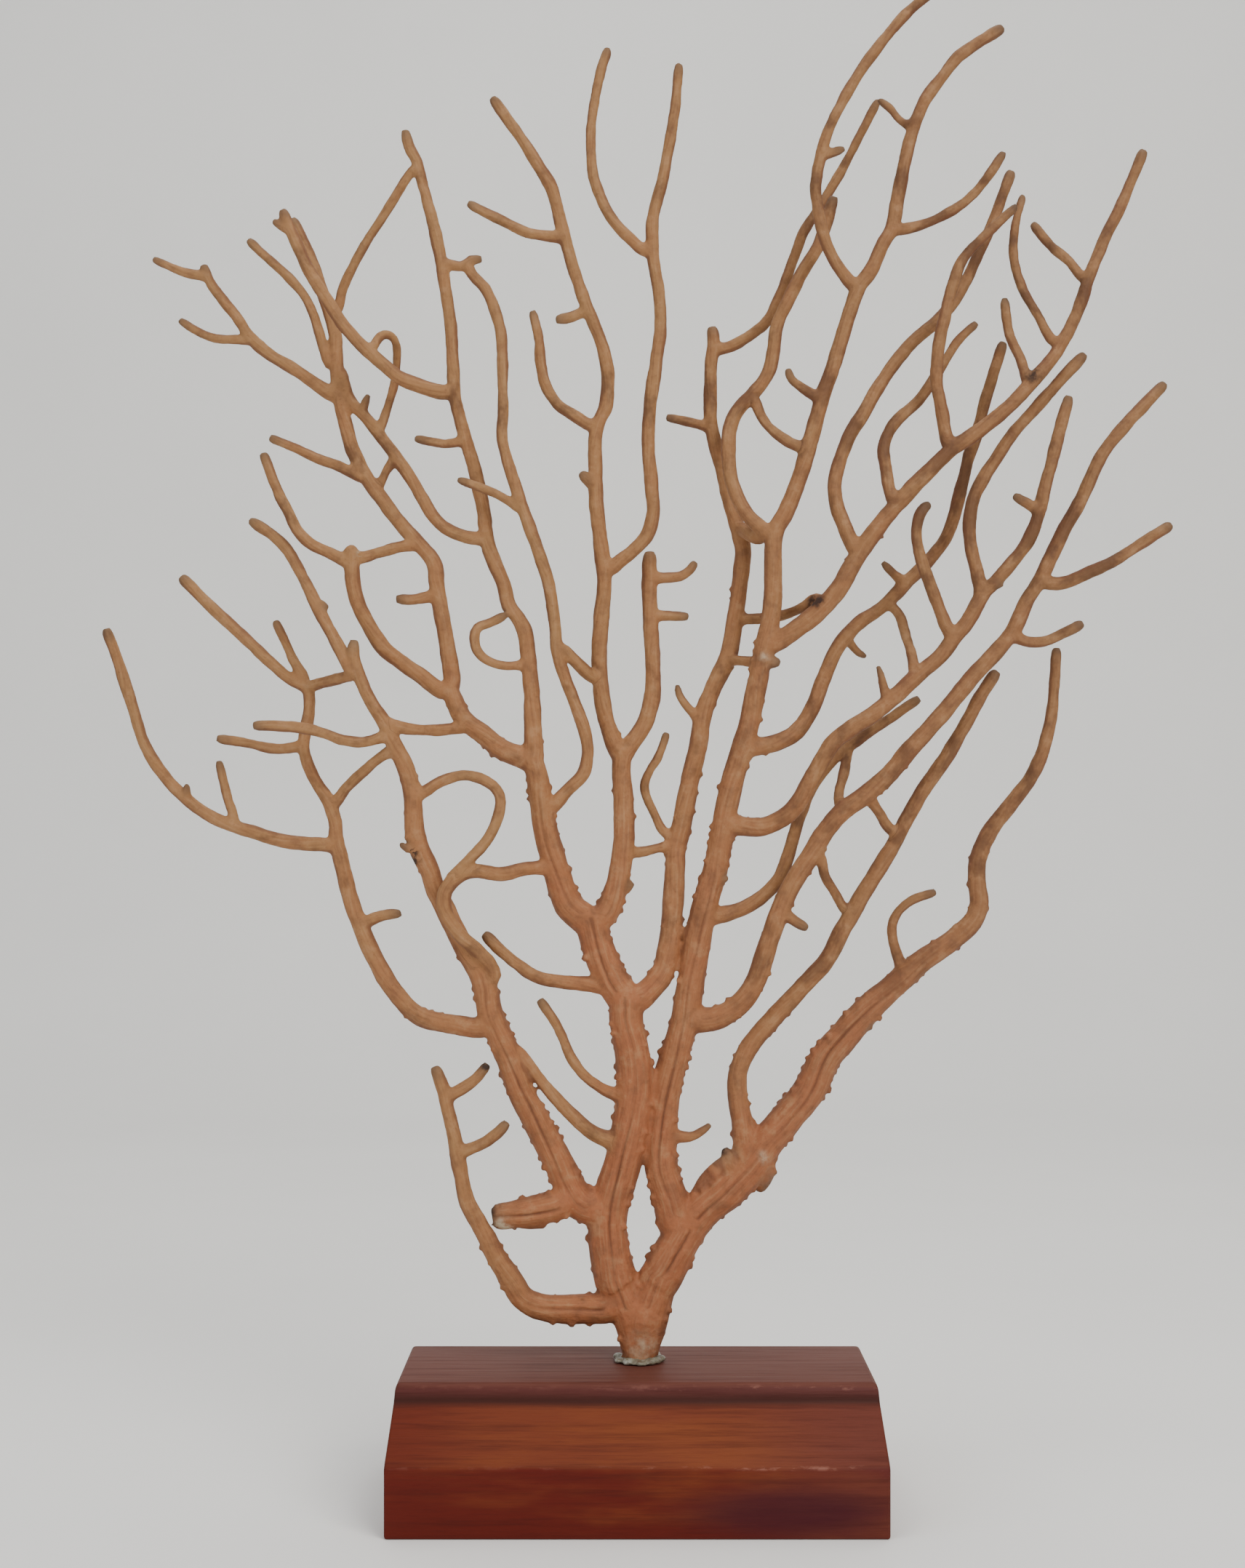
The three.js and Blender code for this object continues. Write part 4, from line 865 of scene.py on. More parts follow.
marks = [                           # drawn place, drawn size, tone: below 0 dark, above 0 pale
    {"piece": "outer_left_middle", "place": (566, 1180), "size": 15, "tone": -1.4},
    {"piece": "outer_left_stem", "place": (690, 1684), "size": 18, "tone": 0.95},
    {"piece": "outer_left_stem", "place": (668, 1660), "size": 16, "tone": -1.1},
    {"piece": "outer_left_stem", "place": (676, 1690), "size": 8, "tone": -0.8},
    # a cream knob with a painted highlight
    {"piece": "low_right_stem", "place": (1050, 1590), "size": 12, "tone": 0.5},
    {"piece": "low_right_stem", "place": (994, 1577), "size": 11, "tone": -0.8},
    {"piece": "right_arm", "place": (1120, 829), "size": 11, "tone": -1.0},
    {"piece": "low_left_arm", "place": (675, 1460), "size": 12, "tone": -0.9},
    {"piece": "right_upper", "place": (1050, 905), "size": 10, "tone": 0.45},
    {"piece": "left_fan_low", "place": (497, 765), "size": 10, "tone": 0.4},
    {"piece": "right_arm_tip", "place": (1412, 525), "size": 16, "tone": -0.6},
    # paler bottom of the foot, partly its own colour and partly painted highlight
    {"piece": "foot", "place": (884, 1846), "size": 30, "tone": 0.42},
]

drawnPoints = {}                    # piece: (sheet point, drawn width, way from the foot) along its strands


def stationValue(stations, fraction):
    place = min(max(fraction, 0), 1) * (len(stations) - 1)
    before = min(int(place), max(len(stations) - 2, 0))
    after = min(before + 1, len(stations) - 1)
    return stations[before] + (stations[after] - stations[before]) * (place - before)


def nearestDrawn(name, place):
    return min(drawnPoints[name],
               key=lambda entry: (entry[0].x - place[0]) ** 2 + (entry[0].y - place[1]) ** 2)


def smoothLine(points, spacing):
    last = len(points) - 1
    tangents = [(points[min(i + 1, last)] - points[max(i - 1, 0)]).normalized() for i in range(last + 1)]
    line = [points[0]]
    for i in range(last):
        third = (points[i + 1] - points[i]).length / 3
        steps = max(2, round(third * 3 / spacing) + 1)
        line += interpolate_bezier(points[i], points[i] + tangents[i] * third,
                                   points[i + 1] - tangents[i + 1] * third, points[i + 1], steps)[1:]
    return line


def reachAlong(points):
    reach = [0.0]
    for before, after in zip(points, points[1:]):
        reach.append(reach[-1] + (after - before).length)
    return reach


# One strand: its line in the frame, its radius at each point and how deep its ends are buried
def makeStrand(piece, strand, parent):
    points = [Vector((x, y, 0)) for x, y in strand["route"]]
    depths = [depth * 0.001 / unit for depth in strand["depth"]]
    startWidth = endWidth = wayHere = 0
    if parent:
        start, startWidth, wayHere = nearestDrawn(parent, strand["route"][0])
        points.insert(0, Vector((start.x, start.y, 0)))
        depths.insert(0, start.z)
    if "to" in strand:
        end, endWidth, _ = nearestDrawn(strand["to"], strand["route"][-1])
        points.append(Vector((end.x, end.y, 0)))
        depths.append(end.z)
    reach = reachAlong(points)
    for point, distance in zip(points, reach):
        point.z = stationValue(depths, distance / reach[-1])
    drawn = smoothLine(points, fanSkin["ringStep"] / unit)
    reach = reachAlong(drawn)
    widths = [stationValue(strand["width"], distance / reach[-1]) for distance in reach]
    way = [wayHere + distance * unit for distance in reach]
    drawnPoints.setdefault(piece, []).extend(zip(drawn, widths, way))
    hue = [max(width, width + (startWidth - width) * math.exp(-distance * unit / fanSkin["hueReach"]))
           for width, distance in zip(widths, reach)]
    return {"piece": piece, "line": [placed(point) for point in drawn],
            "width": widths, "hue": hue, "way": way,
            "buried": (startWidth / 2 * unit, endWidth / 2 * unit), "free": "to" not in strand,
            "rooted": bool(parent)}


def strandFrames(strand):           # reach, tangent, side and front at each point of the line
    line = strand["line"]
    last = len(line) - 1
    reach = reachAlong(line)
    frames = []
    for i in range(last + 1):
        tangent = (line[min(i + 1, last)] - line[max(i - 1, 0)]).normalized()
        side = tangent.cross(Vector((0, 1, 0))).normalized()
        frames.append((reach[i], tangent, side, tangent.cross(side)))
    return frames


def strandRadius(strand, index, reach):
    radius = strand["width"][index] / 2 * unit * fanSkin["grow"]
    for buried, distance in zip(strand["buried"], (reach[index], reach[-1] - reach[index])):
        if buried:
            share = 1 - min(radius / buried, 1)
            outside = max(distance - buried * 0.75, 0)
            flare = fanSkin["flareLeast"] + fanSkin["flare"] * share
            radius *= 1 + flare * math.exp(-outside / radius / 1.1)
    fromEnd = len(reach) - 1 - index
    if strand["free"] and fromEnd < len(fanSkin["tipTaper"]):
        radius *= fanSkin["tipTaper"][fromEnd]
    return radius


def joinInto(target, source):
    mesh = bpy.data.meshes.new("part")
    source.to_mesh(mesh)
    source.free()
    target.from_mesh(mesh)
    bpy.data.meshes.remove(mesh)


def sweepTube(strand, frames, radii):
    bm = bmesh.new()
    ring = bmesh.ops.create_circle(bm, cap_ends=True, radius=1, segments=fanSkin["ringSides"])["verts"]
    face = bm.faces[:][0]
    before = Matrix.Identity(4)
    for i, (point, (_, tangent, side, front)) in enumerate(zip(strand["line"], frames)):
        if i:
            grown = bmesh.ops.extrude_face_region(bm, geom=[face])["geom"]
            if i > 1:               # the first face stays as the tube's end
                bmesh.ops.delete(bm, geom=[face], context="FACES_ONLY")
            ring = [item for item in grown if isinstance(item, bmesh.types.BMVert)]
            face = [item for item in grown if isinstance(item, bmesh.types.BMFace)][0]
        size = radii[i]
        across = Matrix((side * size, front * size * fanSkin["flatness"], tangent * size)).transposed()
        after = Matrix.Translation(point) @ across.to_4x4()
        bmesh.ops.transform(bm, matrix=after @ before.inverted(), verts=ring)
        before = after
    bmesh.ops.recalc_face_normals(bm, faces=bm.faces[:])
    return bm


def addBall(bm, place, radius):
    shape = Matrix.Diagonal((1, fanSkin["flatness"], 1, 1))
    bmesh.ops.create_icosphere(bm, subdivisions=2, radius=radius, matrix=Matrix.Translation(place) @ shape)


def addTeeth(bm, strand, frames, radii, dice):
    distance = strand["buried"][0]
    phase = dice.uniform(0, 2 * math.pi)
    for i, (reach, tangent, side, front) in enumerate(frames):
        width = strand["width"][i]
        if width < teeth["leastWidth"] or reach < distance:
            continue
        full = min(max((width - teeth["leastWidth"]) / (teeth["fullWidth"] - teeth["leastWidth"]), 0), 1)
        distance = reach + teeth["pitch"] * dice.uniform(0.75, 1.25)
        for sign in (-1, 1):
            rows = math.sin(reach / teeth["comeAndGo"] * 2 * math.pi + phase + sign)
            if dice.random() > 0.2 + 0.75 * full - 0.35 * max(rows, 0):
                continue
            tilt = dice.uniform(-0.6, 0.6)
            out = (side * sign * math.cos(tilt) + front * math.sin(tilt)).normalized()
            axis = (out + tangent * teeth["lean"]).normalized()
            size = dice.uniform(0.7, 1.2) * (0.6 + 0.4 * full)
            centre = strand["line"][i] + out * (radii[i] * 0.9) + tangent * dice.uniform(-0.0004, 0.0004)
            turn = axis.to_track_quat("Z", "Y").to_matrix().to_4x4()
            bmesh.ops.create_cone(bm, cap_ends=True, segments=7, radius1=teeth["foot"] * size,
                                  radius2=teeth["foot"] * size * teeth["blunt"], depth=teeth["height"] * size,
                                  matrix=Matrix.Translation(centre) @ turn)


strands = []
for branch in branches:
    strands.append(makeStrand(branch["name"], branch["main"], branch["parent"]))
    for twig in branch["twigs"]:
        strands.append(makeStrand(branch["name"], twig, branch["name"]))
for strand in strands:              # an end that another strand grows on from is not a tip
    for other in strands:
        if other["rooted"] and (other["line"][0] - strand["line"][-1]).length < strand["width"][-1] * unit:
            strand["free"] = False
print("strands:", len(strands), "with", sum(strand["free"] for strand in strands), "free tips")

dice = random.Random(fanSkin["seed"])
rawFan = bmesh.new()
toothBm = bmesh.new()
treePoints = []                     # where the skin will be, with the strand point that it belongs to
samples = []
for number, strand in enumerate(strands):
    frames = strandFrames(strand)
    reach = [entry[0] for entry in frames]
    radii = [strandRadius(strand, i, reach) for i in range(len(reach))]
    joinInto(rawFan, sweepTube(strand, frames, radii))
    addTeeth(toothBm, strand, frames, radii, dice)
    if strand["rooted"]:
        plain = strand["width"][0] / 2 * unit * fanSkin["grow"]
        addBall(toothBm, strand["line"][0], min(plain, strand["buried"][0]) * fanSkin["joint"])
    if not strand["free"] and not strand["buried"][1]:
        addBall(toothBm, strand["line"][-1], radii[-1] * fanSkin["joint"])
    for i, (distance, tangent, side, front) in enumerate(frames):
        left = reach[-1] - distance
        if distance < strand["buried"][0] * 0.9 or left < strand["buried"][1] * 0.9:
            continue
        samples.append((strand["line"][i], side, front, tangent, strand["piece"], strand["width"][i],
                        strand["way"][i], left if strand["free"] else 1.0, number, strand["hue"][i]))
        for k in range(6):
            angle = math.radians(60 * k)
            out = side * math.cos(angle) + front * math.sin(angle)
            treePoints.append((strand["line"][i] + out * radii[i], len(samples) - 1))
for web in webs:
    line = smoothLine([Vector((x, y, 0)) for x, y in web["line"]], web["size"] / 3)
    for i, point in enumerate(line):
        depth = nearestDrawn(web["piece"], point)[0].z
        swell = 0.6 + 0.4 * math.sin(math.pi * i / (len(line) - 1))
        addBall(toothBm, placed((point.x, point.y, depth)), web["size"] * unit * swell)
joinInto(rawFan, toothBm)
fanObject = newObject("fan_skin", rawFan)
print("tubes and teeth:", len(fanObject.data.vertices), "points")

remesh = fanObject.modifiers.new("fuse", "REMESH")
remesh.mode = "VOXEL"
remesh.voxel_size = fanSkin["voxel"]
soften = fanObject.modifiers.new("soften", "SMOOTH")
soften.factor = 0.5
soften.iterations = fanSkin["smoothing"]
clouds = bpy.data.textures.new("lumps", "CLOUDS")
clouds.noise_scale = fanSkin["lumpSize"]
lumps = fanObject.modifiers.new("lumps", "DISPLACE")
lumps.texture = clouds
lumps.strength = fanSkin["lump"] * 2
graph = bpy.context.evaluated_depsgraph_get()
skinMesh = bpy.data.meshes.new_from_object(fanObject.evaluated_get(graph))
fanObject.modifiers.clear()
fanObject.data = skinMesh
print("fused skin:", len(skinMesh.polygons), "faces")

# Which strand point each point of the skin belongs to
tree = kdtree.KDTree(len(treePoints))
for place, index in treePoints:
    tree.insert(place, index)
tree.balance()
count = len(skinMesh.vertices)
spots = np.empty(count * 3, np.float32)
skinMesh.vertices.foreach_get("co", spots)
spots = spots.reshape(-1, 3)
owner = np.array([tree.find(spot)[1] for spot in spots])
pieceNames = [branch["name"] for branch in branches]
centres, sides, fronts, tangents = (np.array([sample[k] for sample in samples])[owner] for k in range(4))
pieceIndex = np.array([pieceNames.index(sample[4]) for sample in samples])[owner]
widths = np.array([sample[5] for sample in samples])[owner]
distances = np.array([sample[6] for sample in samples])[owner]
tipDistances = np.array([sample[7] for sample in samples])[owner]
strandNumbers = np.array([sample[8] for sample in samples])[owner]
hues = np.array([sample[9] for sample in samples])[owner]
edgeEnds = np.empty(len(skinMesh.edges) * 2, np.int32)
skinMesh.edges.foreach_get("vertices", edgeEnds)
edgeEnds = edgeEnds.reshape(-1, 2)
print("skin points sorted by strand")


def spread(values, rounds, pairs=edgeEnds):     # evens out a value over neighbouring points of the skin
    size = len(values)
    degree = np.bincount(pairs.ravel(), minlength=size)
    for _ in range(rounds):
        total = (np.bincount(pairs[:, 0], weights=values[pairs[:, 1]], minlength=size)
                 + np.bincount(pairs[:, 1], weights=values[pairs[:, 0]], minlength=size))
        values = (values + total) / (1 + degree)
    return values


# Where the markings of one strand meet those of another they blend, and fade out
offset = spots - centres
facing = (offset * fronts).sum(1)
alongStem = distances + (offset * tangents).sum(1)
across = (offset * sides).sum(1) - groove["wander"] * np.sin(alongStem / groove["wanderLength"] * 2 * math.pi)
steps = np.abs(across[edgeEnds[:, 0]] - across[edgeEnds[:, 1]]) > groove["jump"]
fork = np.zeros(count)
fork[edgeEnds[steps].ravel()] = 1
fork = np.clip(spread(fork, fanSkin["forkFade"]) * 3, 0, 1)
stemPlace = np.stack([spread(values, fanSkin["forkFade"]) for values in (alongStem, across, facing)], 1)

# A groove with raised lips down the middle of both broad sides of the thick stems
evenWidths = spread(widths, 12)
amount = np.clip((evenWidths - groove["width"][0]) / (groove["width"][1] - groove["width"][0]), 0, 1)
amount = amount * np.clip(np.abs(facing) / 0.001 - 0.6, 0, 1) * (1 - fork) * (strandNumbers > 0)
amount = amount * (0.68 + 0.32 * np.sin(alongStem / groove["fadeLength"] * 2 * math.pi + strandNumbers))
cut = np.exp(-(across / groove["half"]) ** 2)
lip = np.exp(-((np.abs(across) - groove["lipAt"]) / groove["half"]) ** 2)
rise = spread(amount * (groove["lip"] * lip - groove["depth"] * cut), 1)
spots = spots + fronts * (rise * np.sign(facing))[:, None]
skinMesh.vertices.foreach_set("co", spots.astype(np.float32).ravel())
skinMesh.update()


def storeValue(name, values):
    layer = skinMesh.attributes.new(name, "FLOAT", "POINT")
    layer.data.foreach_set("value", values.astype(np.float32))


def storeVector(name, values):
    layer = skinMesh.attributes.new(name, "FLOAT_VECTOR", "POINT")
    layer.data.foreach_set("vector", values.astype(np.float32).ravel())


markTone = np.zeros(count)
for mark in marks:
    centre = placed((*mark["place"], 0))
    away = np.hypot(spots[:, 0] - centre.x, spots[:, 2] - centre.z) / (mark["size"] * unit)
    own = pieceIndex == pieceNames.index(mark["piece"])
    markTone = markTone + own * mark["tone"] * np.exp(-1.1 * away ** 2)
twigWidth, stemWidth = fanSkin["girth"]
storeValue("girth", np.clip((spread(hues, 25) - twigWidth) / (stemWidth - twigWidth), 0, 1))
# how deep the groove is, which also lays painted shade along it
storeValue("seam", amount)
storeValue("plain", fork)
# Nearness to a branch's edges, which lays painted shade there
storeValue("rim", spread(np.clip(np.abs(across) / (widths / 2 * unit), 0, 1.3) * (1 - 0.6 * fork), 3))
storeValue("tip", spread(np.clip(1 - tipDistances / fanSkin["tipReach"], 0, 1), 3))
storeValue("mark", markTone)
storeVector("stemPlace", stemPlace)
wholeNormals = np.empty(count * 3, np.float32)
skinMesh.vertex_normals.foreach_get("vector", wholeNormals)
storeVector("wholeNormal", wholeNormals)
print("groove cut and surface values stored")


coralFinish = {
    "thin": (0.305, 0.155, 0.062),
    "middle": (0.312, 0.136, 0.054),
    "thick": (0.320, 0.108, 0.044),
    "pale": (0.42, 0.235, 0.115),
    "brown": (0.085, 0.036, 0.017),     # worn patches
    "shade": (0.135, 0.060, 0.029),
    # painted shade at the branches' edges, also the colour of dark streaks and specks
    "rim": (0.150, 0.056, 0.027),
    "tip": (0.105, 0.068, 0.042),
    "scar": (0.020, 0.011, 0.009),
    "paleAndHighlight": (0.50, 0.40, 0.27),
    "line": (0.090, 0.029, 0.013),      # painted shade in the groove
    "roughness": (0.55, 0.82),
    "lineHalf": 0.00028,
    "shadeSide": (-0.02, 0.10),          # painted shade, and denser patches, towards this side, from x to x
}


def coralMaterial():
    made, tree, shader = newMaterial("dried_coral")
    look = coralFinish
    place = objectPlace(tree)
    stem = addNode(tree, "ShaderNodeAttribute", {"attribute_name": "stemPlace"}).outputs["Vector"]
    kept = mathNode(tree, "SUBTRACT", 1.0, attributeNode(tree, "plain"))
    patches = noiseNode(tree, place, 90, 4, 0.6)
    grain = noiseNode(tree, place, 420, 3, 0.6)
    specks = noiseNode(tree, place, 1300, 2, 0.6)
    mottle = noiseNode(tree, place, 230, 4, 0.65)
    grainRise = mathNode(tree, "SUBTRACT", grain, 0.5)
    # Streaks along the stem, which fade out at the forks
    fibre = addNode(tree, "ShaderNodeMapping", None, {"Vector": stem, "Scale": (90, 1300, 1300)}).outputs[0]
    streaks = mathNode(tree, "SUBTRACT", noiseNode(tree, fibre, 1.0, 3, 0.6), 0.5)
    streaks = mathNode(tree, "ADD", times(tree, streaks, kept), 0.5)
    # From ochre twigs to reddish stems, streaked and mottled
    girth = mathNode(tree, "ADD", attributeNode(tree, "girth"),
                     times(tree, mathNode(tree, "SUBTRACT", patches, 0.5), 0.8), True)
    colour = rampNode(tree, girth, [(0.0, look["thin"]), (0.4, look["middle"]), (1.0, look["thick"])])
    colour = paint(tree, colour, look["pale"], rangeNode(tree, streaks, 0.48, 0.75), 0.4)
    colour = paint(tree, colour, look["rim"], rangeNode(tree, streaks, 0.5, 0.28), 0.4)
    # Painted shade: the fan grows darker towards the right; the same dark colour also lays a random darker
    # mottle
    wide = addNode(tree, "ShaderNodeSeparateXYZ", None, {0: place}).outputs[0]
    side = rangeNode(tree, wide, *look["shadeSide"])
    rightShadeAndMottle = mathNode(tree, "ADD", times(tree, side, 0.34),
                    times(tree, rangeNode(tree, mottle, 0.47, 0.7), 0.4), True)
    colour = paint(tree, colour, look["shade"], rightShadeAndMottle)
    colour = paint(tree, colour, look["pale"], rangeNode(tree, mottle, 0.48, 0.3), 0.35)
    # Worn brown patches, mostly on the thin branches, a little denser towards the right with the painted
    # shade
    wornPlace = addNode(tree, "ShaderNodeMapping", None, {"Vector": stem, "Scale": (70, 110, 110)}).outputs[0]
    wearAndPaintedLight = mathNode(tree, "ADD", noiseNode(tree, wornPlace, 1.0, 4, 0.62), times(tree, side, 0.09))
    thinness = mathNode(tree, "SUBTRACT", 1.0, times(tree, attributeNode(tree, "girth"), 0.75))
    wearAndPaintedLight = rangeNode(tree, wearAndPaintedLight, 0.56, 0.72)
    colour = paint(tree, colour, look["brown"], wearAndPaintedLight, times(tree, thinness, 0.75))
    # Painted shade at the branches' edges, darker specks, and painted shade along the line in the groove
    rim = mathNode(tree, "ADD", attributeNode(tree, "rim"), times(tree, grainRise, 0.5))
    colour = paint(tree, colour, look["rim"], rangeNode(tree, rim, 0.72, 1.15), 0.62)
    colour = paint(tree, colour, look["rim"], rangeNode(tree, specks, 0.6, 0.75), 0.35)
    across = addNode(tree, "ShaderNodeSeparateXYZ", None, {0: stem}).outputs[1]
    seam = mathNode(tree, "ABSOLUTE", mathNode(tree, "DIVIDE", across, look["lineHalf"]), 0.0)
    seam = mathNode(tree, "SUBTRACT", 1.0, times(tree, seam, 0.5), True)
    seam = times(tree, seam, attributeNode(tree, "seam"))
    # painted shade along the groove
    colour = paint(tree, colour, look["line"], seam, mathNode(tree, "ADD", patches, 0.25, True))
    # Dull tips, pale and dark scars, and painted highlights on a knob and at the bottom of the foot
    colour = paint(tree, colour, look["tip"], attributeNode(tree, "tip"), 0.65)
    uneven = mathNode(tree, "ADD", times(tree, grainRise, 3.0), 0.85)
    ragged = times(tree, attributeNode(tree, "mark"), uneven)
    colour = paint(tree, colour, look["paleAndHighlight"], rangeNode(tree, ragged, 0.08, 0.8), 0.8)
    colour = paint(tree, colour, look["scar"], rangeNode(tree, ragged, -0.08, -0.7), 0.9)
    tree.links.new(colour, shader.inputs["Base Color"])
    low, high = look["roughness"]
    rough = addNode(tree, "ShaderNodeMapRange", None, {0: grain, 3: low, 4: high})
    tree.links.new(rough.outputs[0], shader.inputs["Roughness"])
    pores = addNode(tree, "ShaderNodeTexVoronoi", None, {"Vector": place, "Scale": 800.0}).outputs["Distance"]
    relief = mathNode(tree, "ADD", times(tree, streaks, 0.8), times(tree, pores, 0.45))
    relief = mathNode(tree, "ADD", relief, times(tree, grain, 0.8))
    relief = mathNode(tree, "SUBTRACT", relief, times(tree, seam, 0.7))
    bump = addNode(tree, "ShaderNodeBump", None, {"Strength": 0.6, "Distance": 0.0004, "Height": relief})
    tree.links.new(bump.outputs[0], shader.inputs["Normal"])
    shader.inputs["Specular IOR Level"].default_value = 0.25
    return made


def neighbourFaces():               # pairs of faces that share an edge
    edges = np.empty(len(skinMesh.loops), np.int32)
    skinMesh.loops.foreach_get("edge_index", edges)
    sides = np.empty(len(skinMesh.polygons), np.int32)
    skinMesh.polygons.foreach_get("loop_total", sides)
    order = np.argsort(edges, kind="stable")
    faces = np.repeat(np.arange(len(sides)), sides)[order]
    shared = edges[order][1:] == edges[order][:-1]
    return np.stack([faces[:-1][shared], faces[1:][shared]], 1)


def patchNumbers(pairs, size):      # the same number for all that hangs together
    numbers = np.arange(size)
    while True:
        lower = numbers.copy()
        np.minimum.at(lower, pairs[:, 0], numbers[pairs[:, 1]])
        np.minimum.at(lower, pairs[:, 1], numbers[pairs[:, 0]])
        lower = lower[lower]
        if (lower == numbers).all():
            return numbers
        numbers = lower


# Which piece each face goes to: the cuts are evened out, and small patches go to the piece round them
def pieceOfFaces():
    corners = np.empty(len(skinMesh.loops), np.int32)
    skinMesh.loops.foreach_get("vertex_index", corners)
    starts = np.empty(len(skinMesh.polygons), np.int32)
    skinMesh.polygons.foreach_get("loop_start", starts)
    first = pieceIndex[corners[starts]]
    pairs = neighbourFaces()
    faceIndex = first.copy()
    strongest = np.zeros(len(first))
    for k in range(len(pieceNames)):
        share = spread((first == k).astype(float), fanSkin["partBlend"], pairs)
        faceIndex[share > strongest] = k
        strongest = np.maximum(strongest, share)
    numbers = patchNumbers(pairs[faceIndex[pairs[:, 0]] == faceIndex[pairs[:, 1]]], len(first))
    loose = np.bincount(numbers, minlength=len(first))[numbers] < fanSkin["leastPatch"]
    print("faces in small patches:", loose.sum())
    for _ in range(fanSkin["leastPatch"]):
        for here, there in ((0, 1), (1, 0)):
            take = pairs[loose[pairs[:, here]] & ~loose[pairs[:, there]]]
            faceIndex[take[:, here]] = faceIndex[take[:, there]]
            loose[take[:, here]] = False
        if not loose.any():
            break
    return faceIndex


# The skin is parted where the branches part, and each part closed at its cuts
def partSkin():
    for name in pieceNames:
        skinMesh.materials.append(bpy.data.materials.new(name))
    skinMesh.polygons.foreach_set("material_index", pieceOfFaces().astype(np.int32))
    bpy.ops.object.select_all(action="DESELECT")
    fanObject.select_set(True)
    bpy.context.view_layer.objects.active = fanObject
    bpy.ops.mesh.separate(type="MATERIAL")
    return list(bpy.context.selected_objects)


def closeCuts(part):
    bm = bmesh.new()
    bm.from_mesh(part.data)
    whole = bm.verts.layers.float_vector["wholeNormal"]
    for vert in [vert for vert in bm.verts if sum(edge.is_boundary for edge in vert.link_edges) > 2]:
        bmesh.utils.vert_separate(vert, [])
    grown = bmesh.ops.extrude_edge_only(bm, edges=[edge for edge in bm.edges if edge.is_boundary])["geom"]
    for vert in [item for item in grown if isinstance(item, bmesh.types.BMVert)]:
        bmesh.ops.translate(bm, vec=vert[whole] * -fanSkin["cutSink"], verts=[vert])
    bmesh.ops.holes_fill(bm, edges=[edge for edge in bm.edges if edge.is_boundary], sides=0)
    bmesh.ops.recalc_face_normals(bm, faces=bm.faces[:])
    bm.to_mesh(part.data)
    bm.free()
    smoothShade(part)
    normals = np.empty(len(part.data.vertices) * 3, np.float32)
    part.data.attributes["wholeNormal"].data.foreach_get("vector", normals)
    part.data.attributes.remove(part.data.attributes["wholeNormal"])
    part.data.normals_split_custom_set_from_vertices(normals.reshape(-1, 3).tolist())


coral = coralMaterial()
for part in partSkin():
    name = part.data.materials[part.data.polygons[0].material_index].name
    closeCuts(part)
    part.data.materials.clear()
    part.data.materials.append(coral)
    part.data.polygons.foreach_set("material_index", [0] * len(part.data.polygons))
    part.name = name + "_skin"
    part.data.name = part.name
    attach(part, "root")
    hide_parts(name)
print("fan parted into", len(pieceNames), "pieces")


# The block: straight sides, wide bevels, a small step, worn and varnished
blockPlan = {
    "sideHeight": 0.0174,
    "bevelDrop": 0.0126,
    "bevelRun": 0.014,
    "stepRise": 0.0034,
    "stepRun": 0.0006,
    "edgeRound": 0.0012,
    "endLean": 0.0019,
    "wornEdge": 0.0007,
}
woodFinish = {
    # face colours hold painted light and shade as well as the finish: painted sheen on top, painted shade in
    # the step, darker side, brighter bevel
    "top": (0.122, 0.040, 0.028),
    "step": (0.046, 0.013, 0.009),
    "stepTop": (0.088, 0.024, 0.020),
    "mauve": (0.088, 0.024, 0.022),
    "bevel": (0.150, 0.033, 0.013),
    "side": (0.100, 0.011, 0.006),
    "streak": (0.040, 0.007, 0.006),
    "warm": (0.20, 0.052, 0.014),
    # pale chipped wear and painted highlight along the edges
    "wearAndPaintedLight": (0.30, 0.13, 0.095),
    "stain": (0.042, 0.006, 0.012),
    "stainAt": (0.036, 0.007),          # x and height of the maroon stain on the front
    "stainSize": (0.030, 0.0075),
}


def makeBlock():
    plan = blockPlan
    size = blockHigh - blockLow
    middle = (blockHigh + blockLow) / 2
    bm = bmesh.new()
    bmesh.ops.create_cube(bm, size=1)
    bmesh.ops.scale(bm, vec=(size.x, size.y, plan["sideHeight"]), verts=bm.verts[:])
    bmesh.ops.translate(bm, vec=(middle.x, middle.y, blockLow.z + plan["sideHeight"] / 2), verts=bm.verts[:])
    top = max(bm.faces, key=lambda face: face.calc_center_median().z)
    levels = [                      # rise, and what the half width and half depth lose
        (plan["bevelDrop"], plan["endLean"] / 2, plan["bevelRun"]),
        (plan["stepRise"], plan["stepRun"] / 2, plan["stepRun"]),
        (plan["edgeRound"], plan["endLean"] / 2 - plan["stepRun"] / 2, plan["edgeRound"]),
    ]
    for rise, narrower, shallower in levels:
        grown = bmesh.ops.extrude_face_region(bm, geom=[top])["geom"]
        bmesh.ops.delete(bm, geom=[top], context="FACES_ONLY")
        top = [item for item in grown if isinstance(item, bmesh.types.BMFace)][0]
        halfWidth = max(vert.co.x for vert in top.verts) - middle.x
        halfDepth = max(vert.co.y for vert in top.verts) - middle.y
        bmesh.ops.scale(bm, vec=(1 - narrower / halfWidth, 1 - shallower / halfDepth, 1), verts=top.verts[:],
                        space=Matrix.Translation((-middle.x, -middle.y, 0)))
        bmesh.ops.translate(bm, vec=(0, 0, rise), verts=top.verts[:])
    bmesh.ops.bevel(bm, geom=bm.edges[:], offset=plan["wornEdge"], affect="EDGES", segments=3, profile=0.5,
                    material=-1)
    bmesh.ops.recalc_face_normals(bm, faces=bm.faces[:])
    made = newObject("block_wood", bm)
    smoothShade(made)
    return made


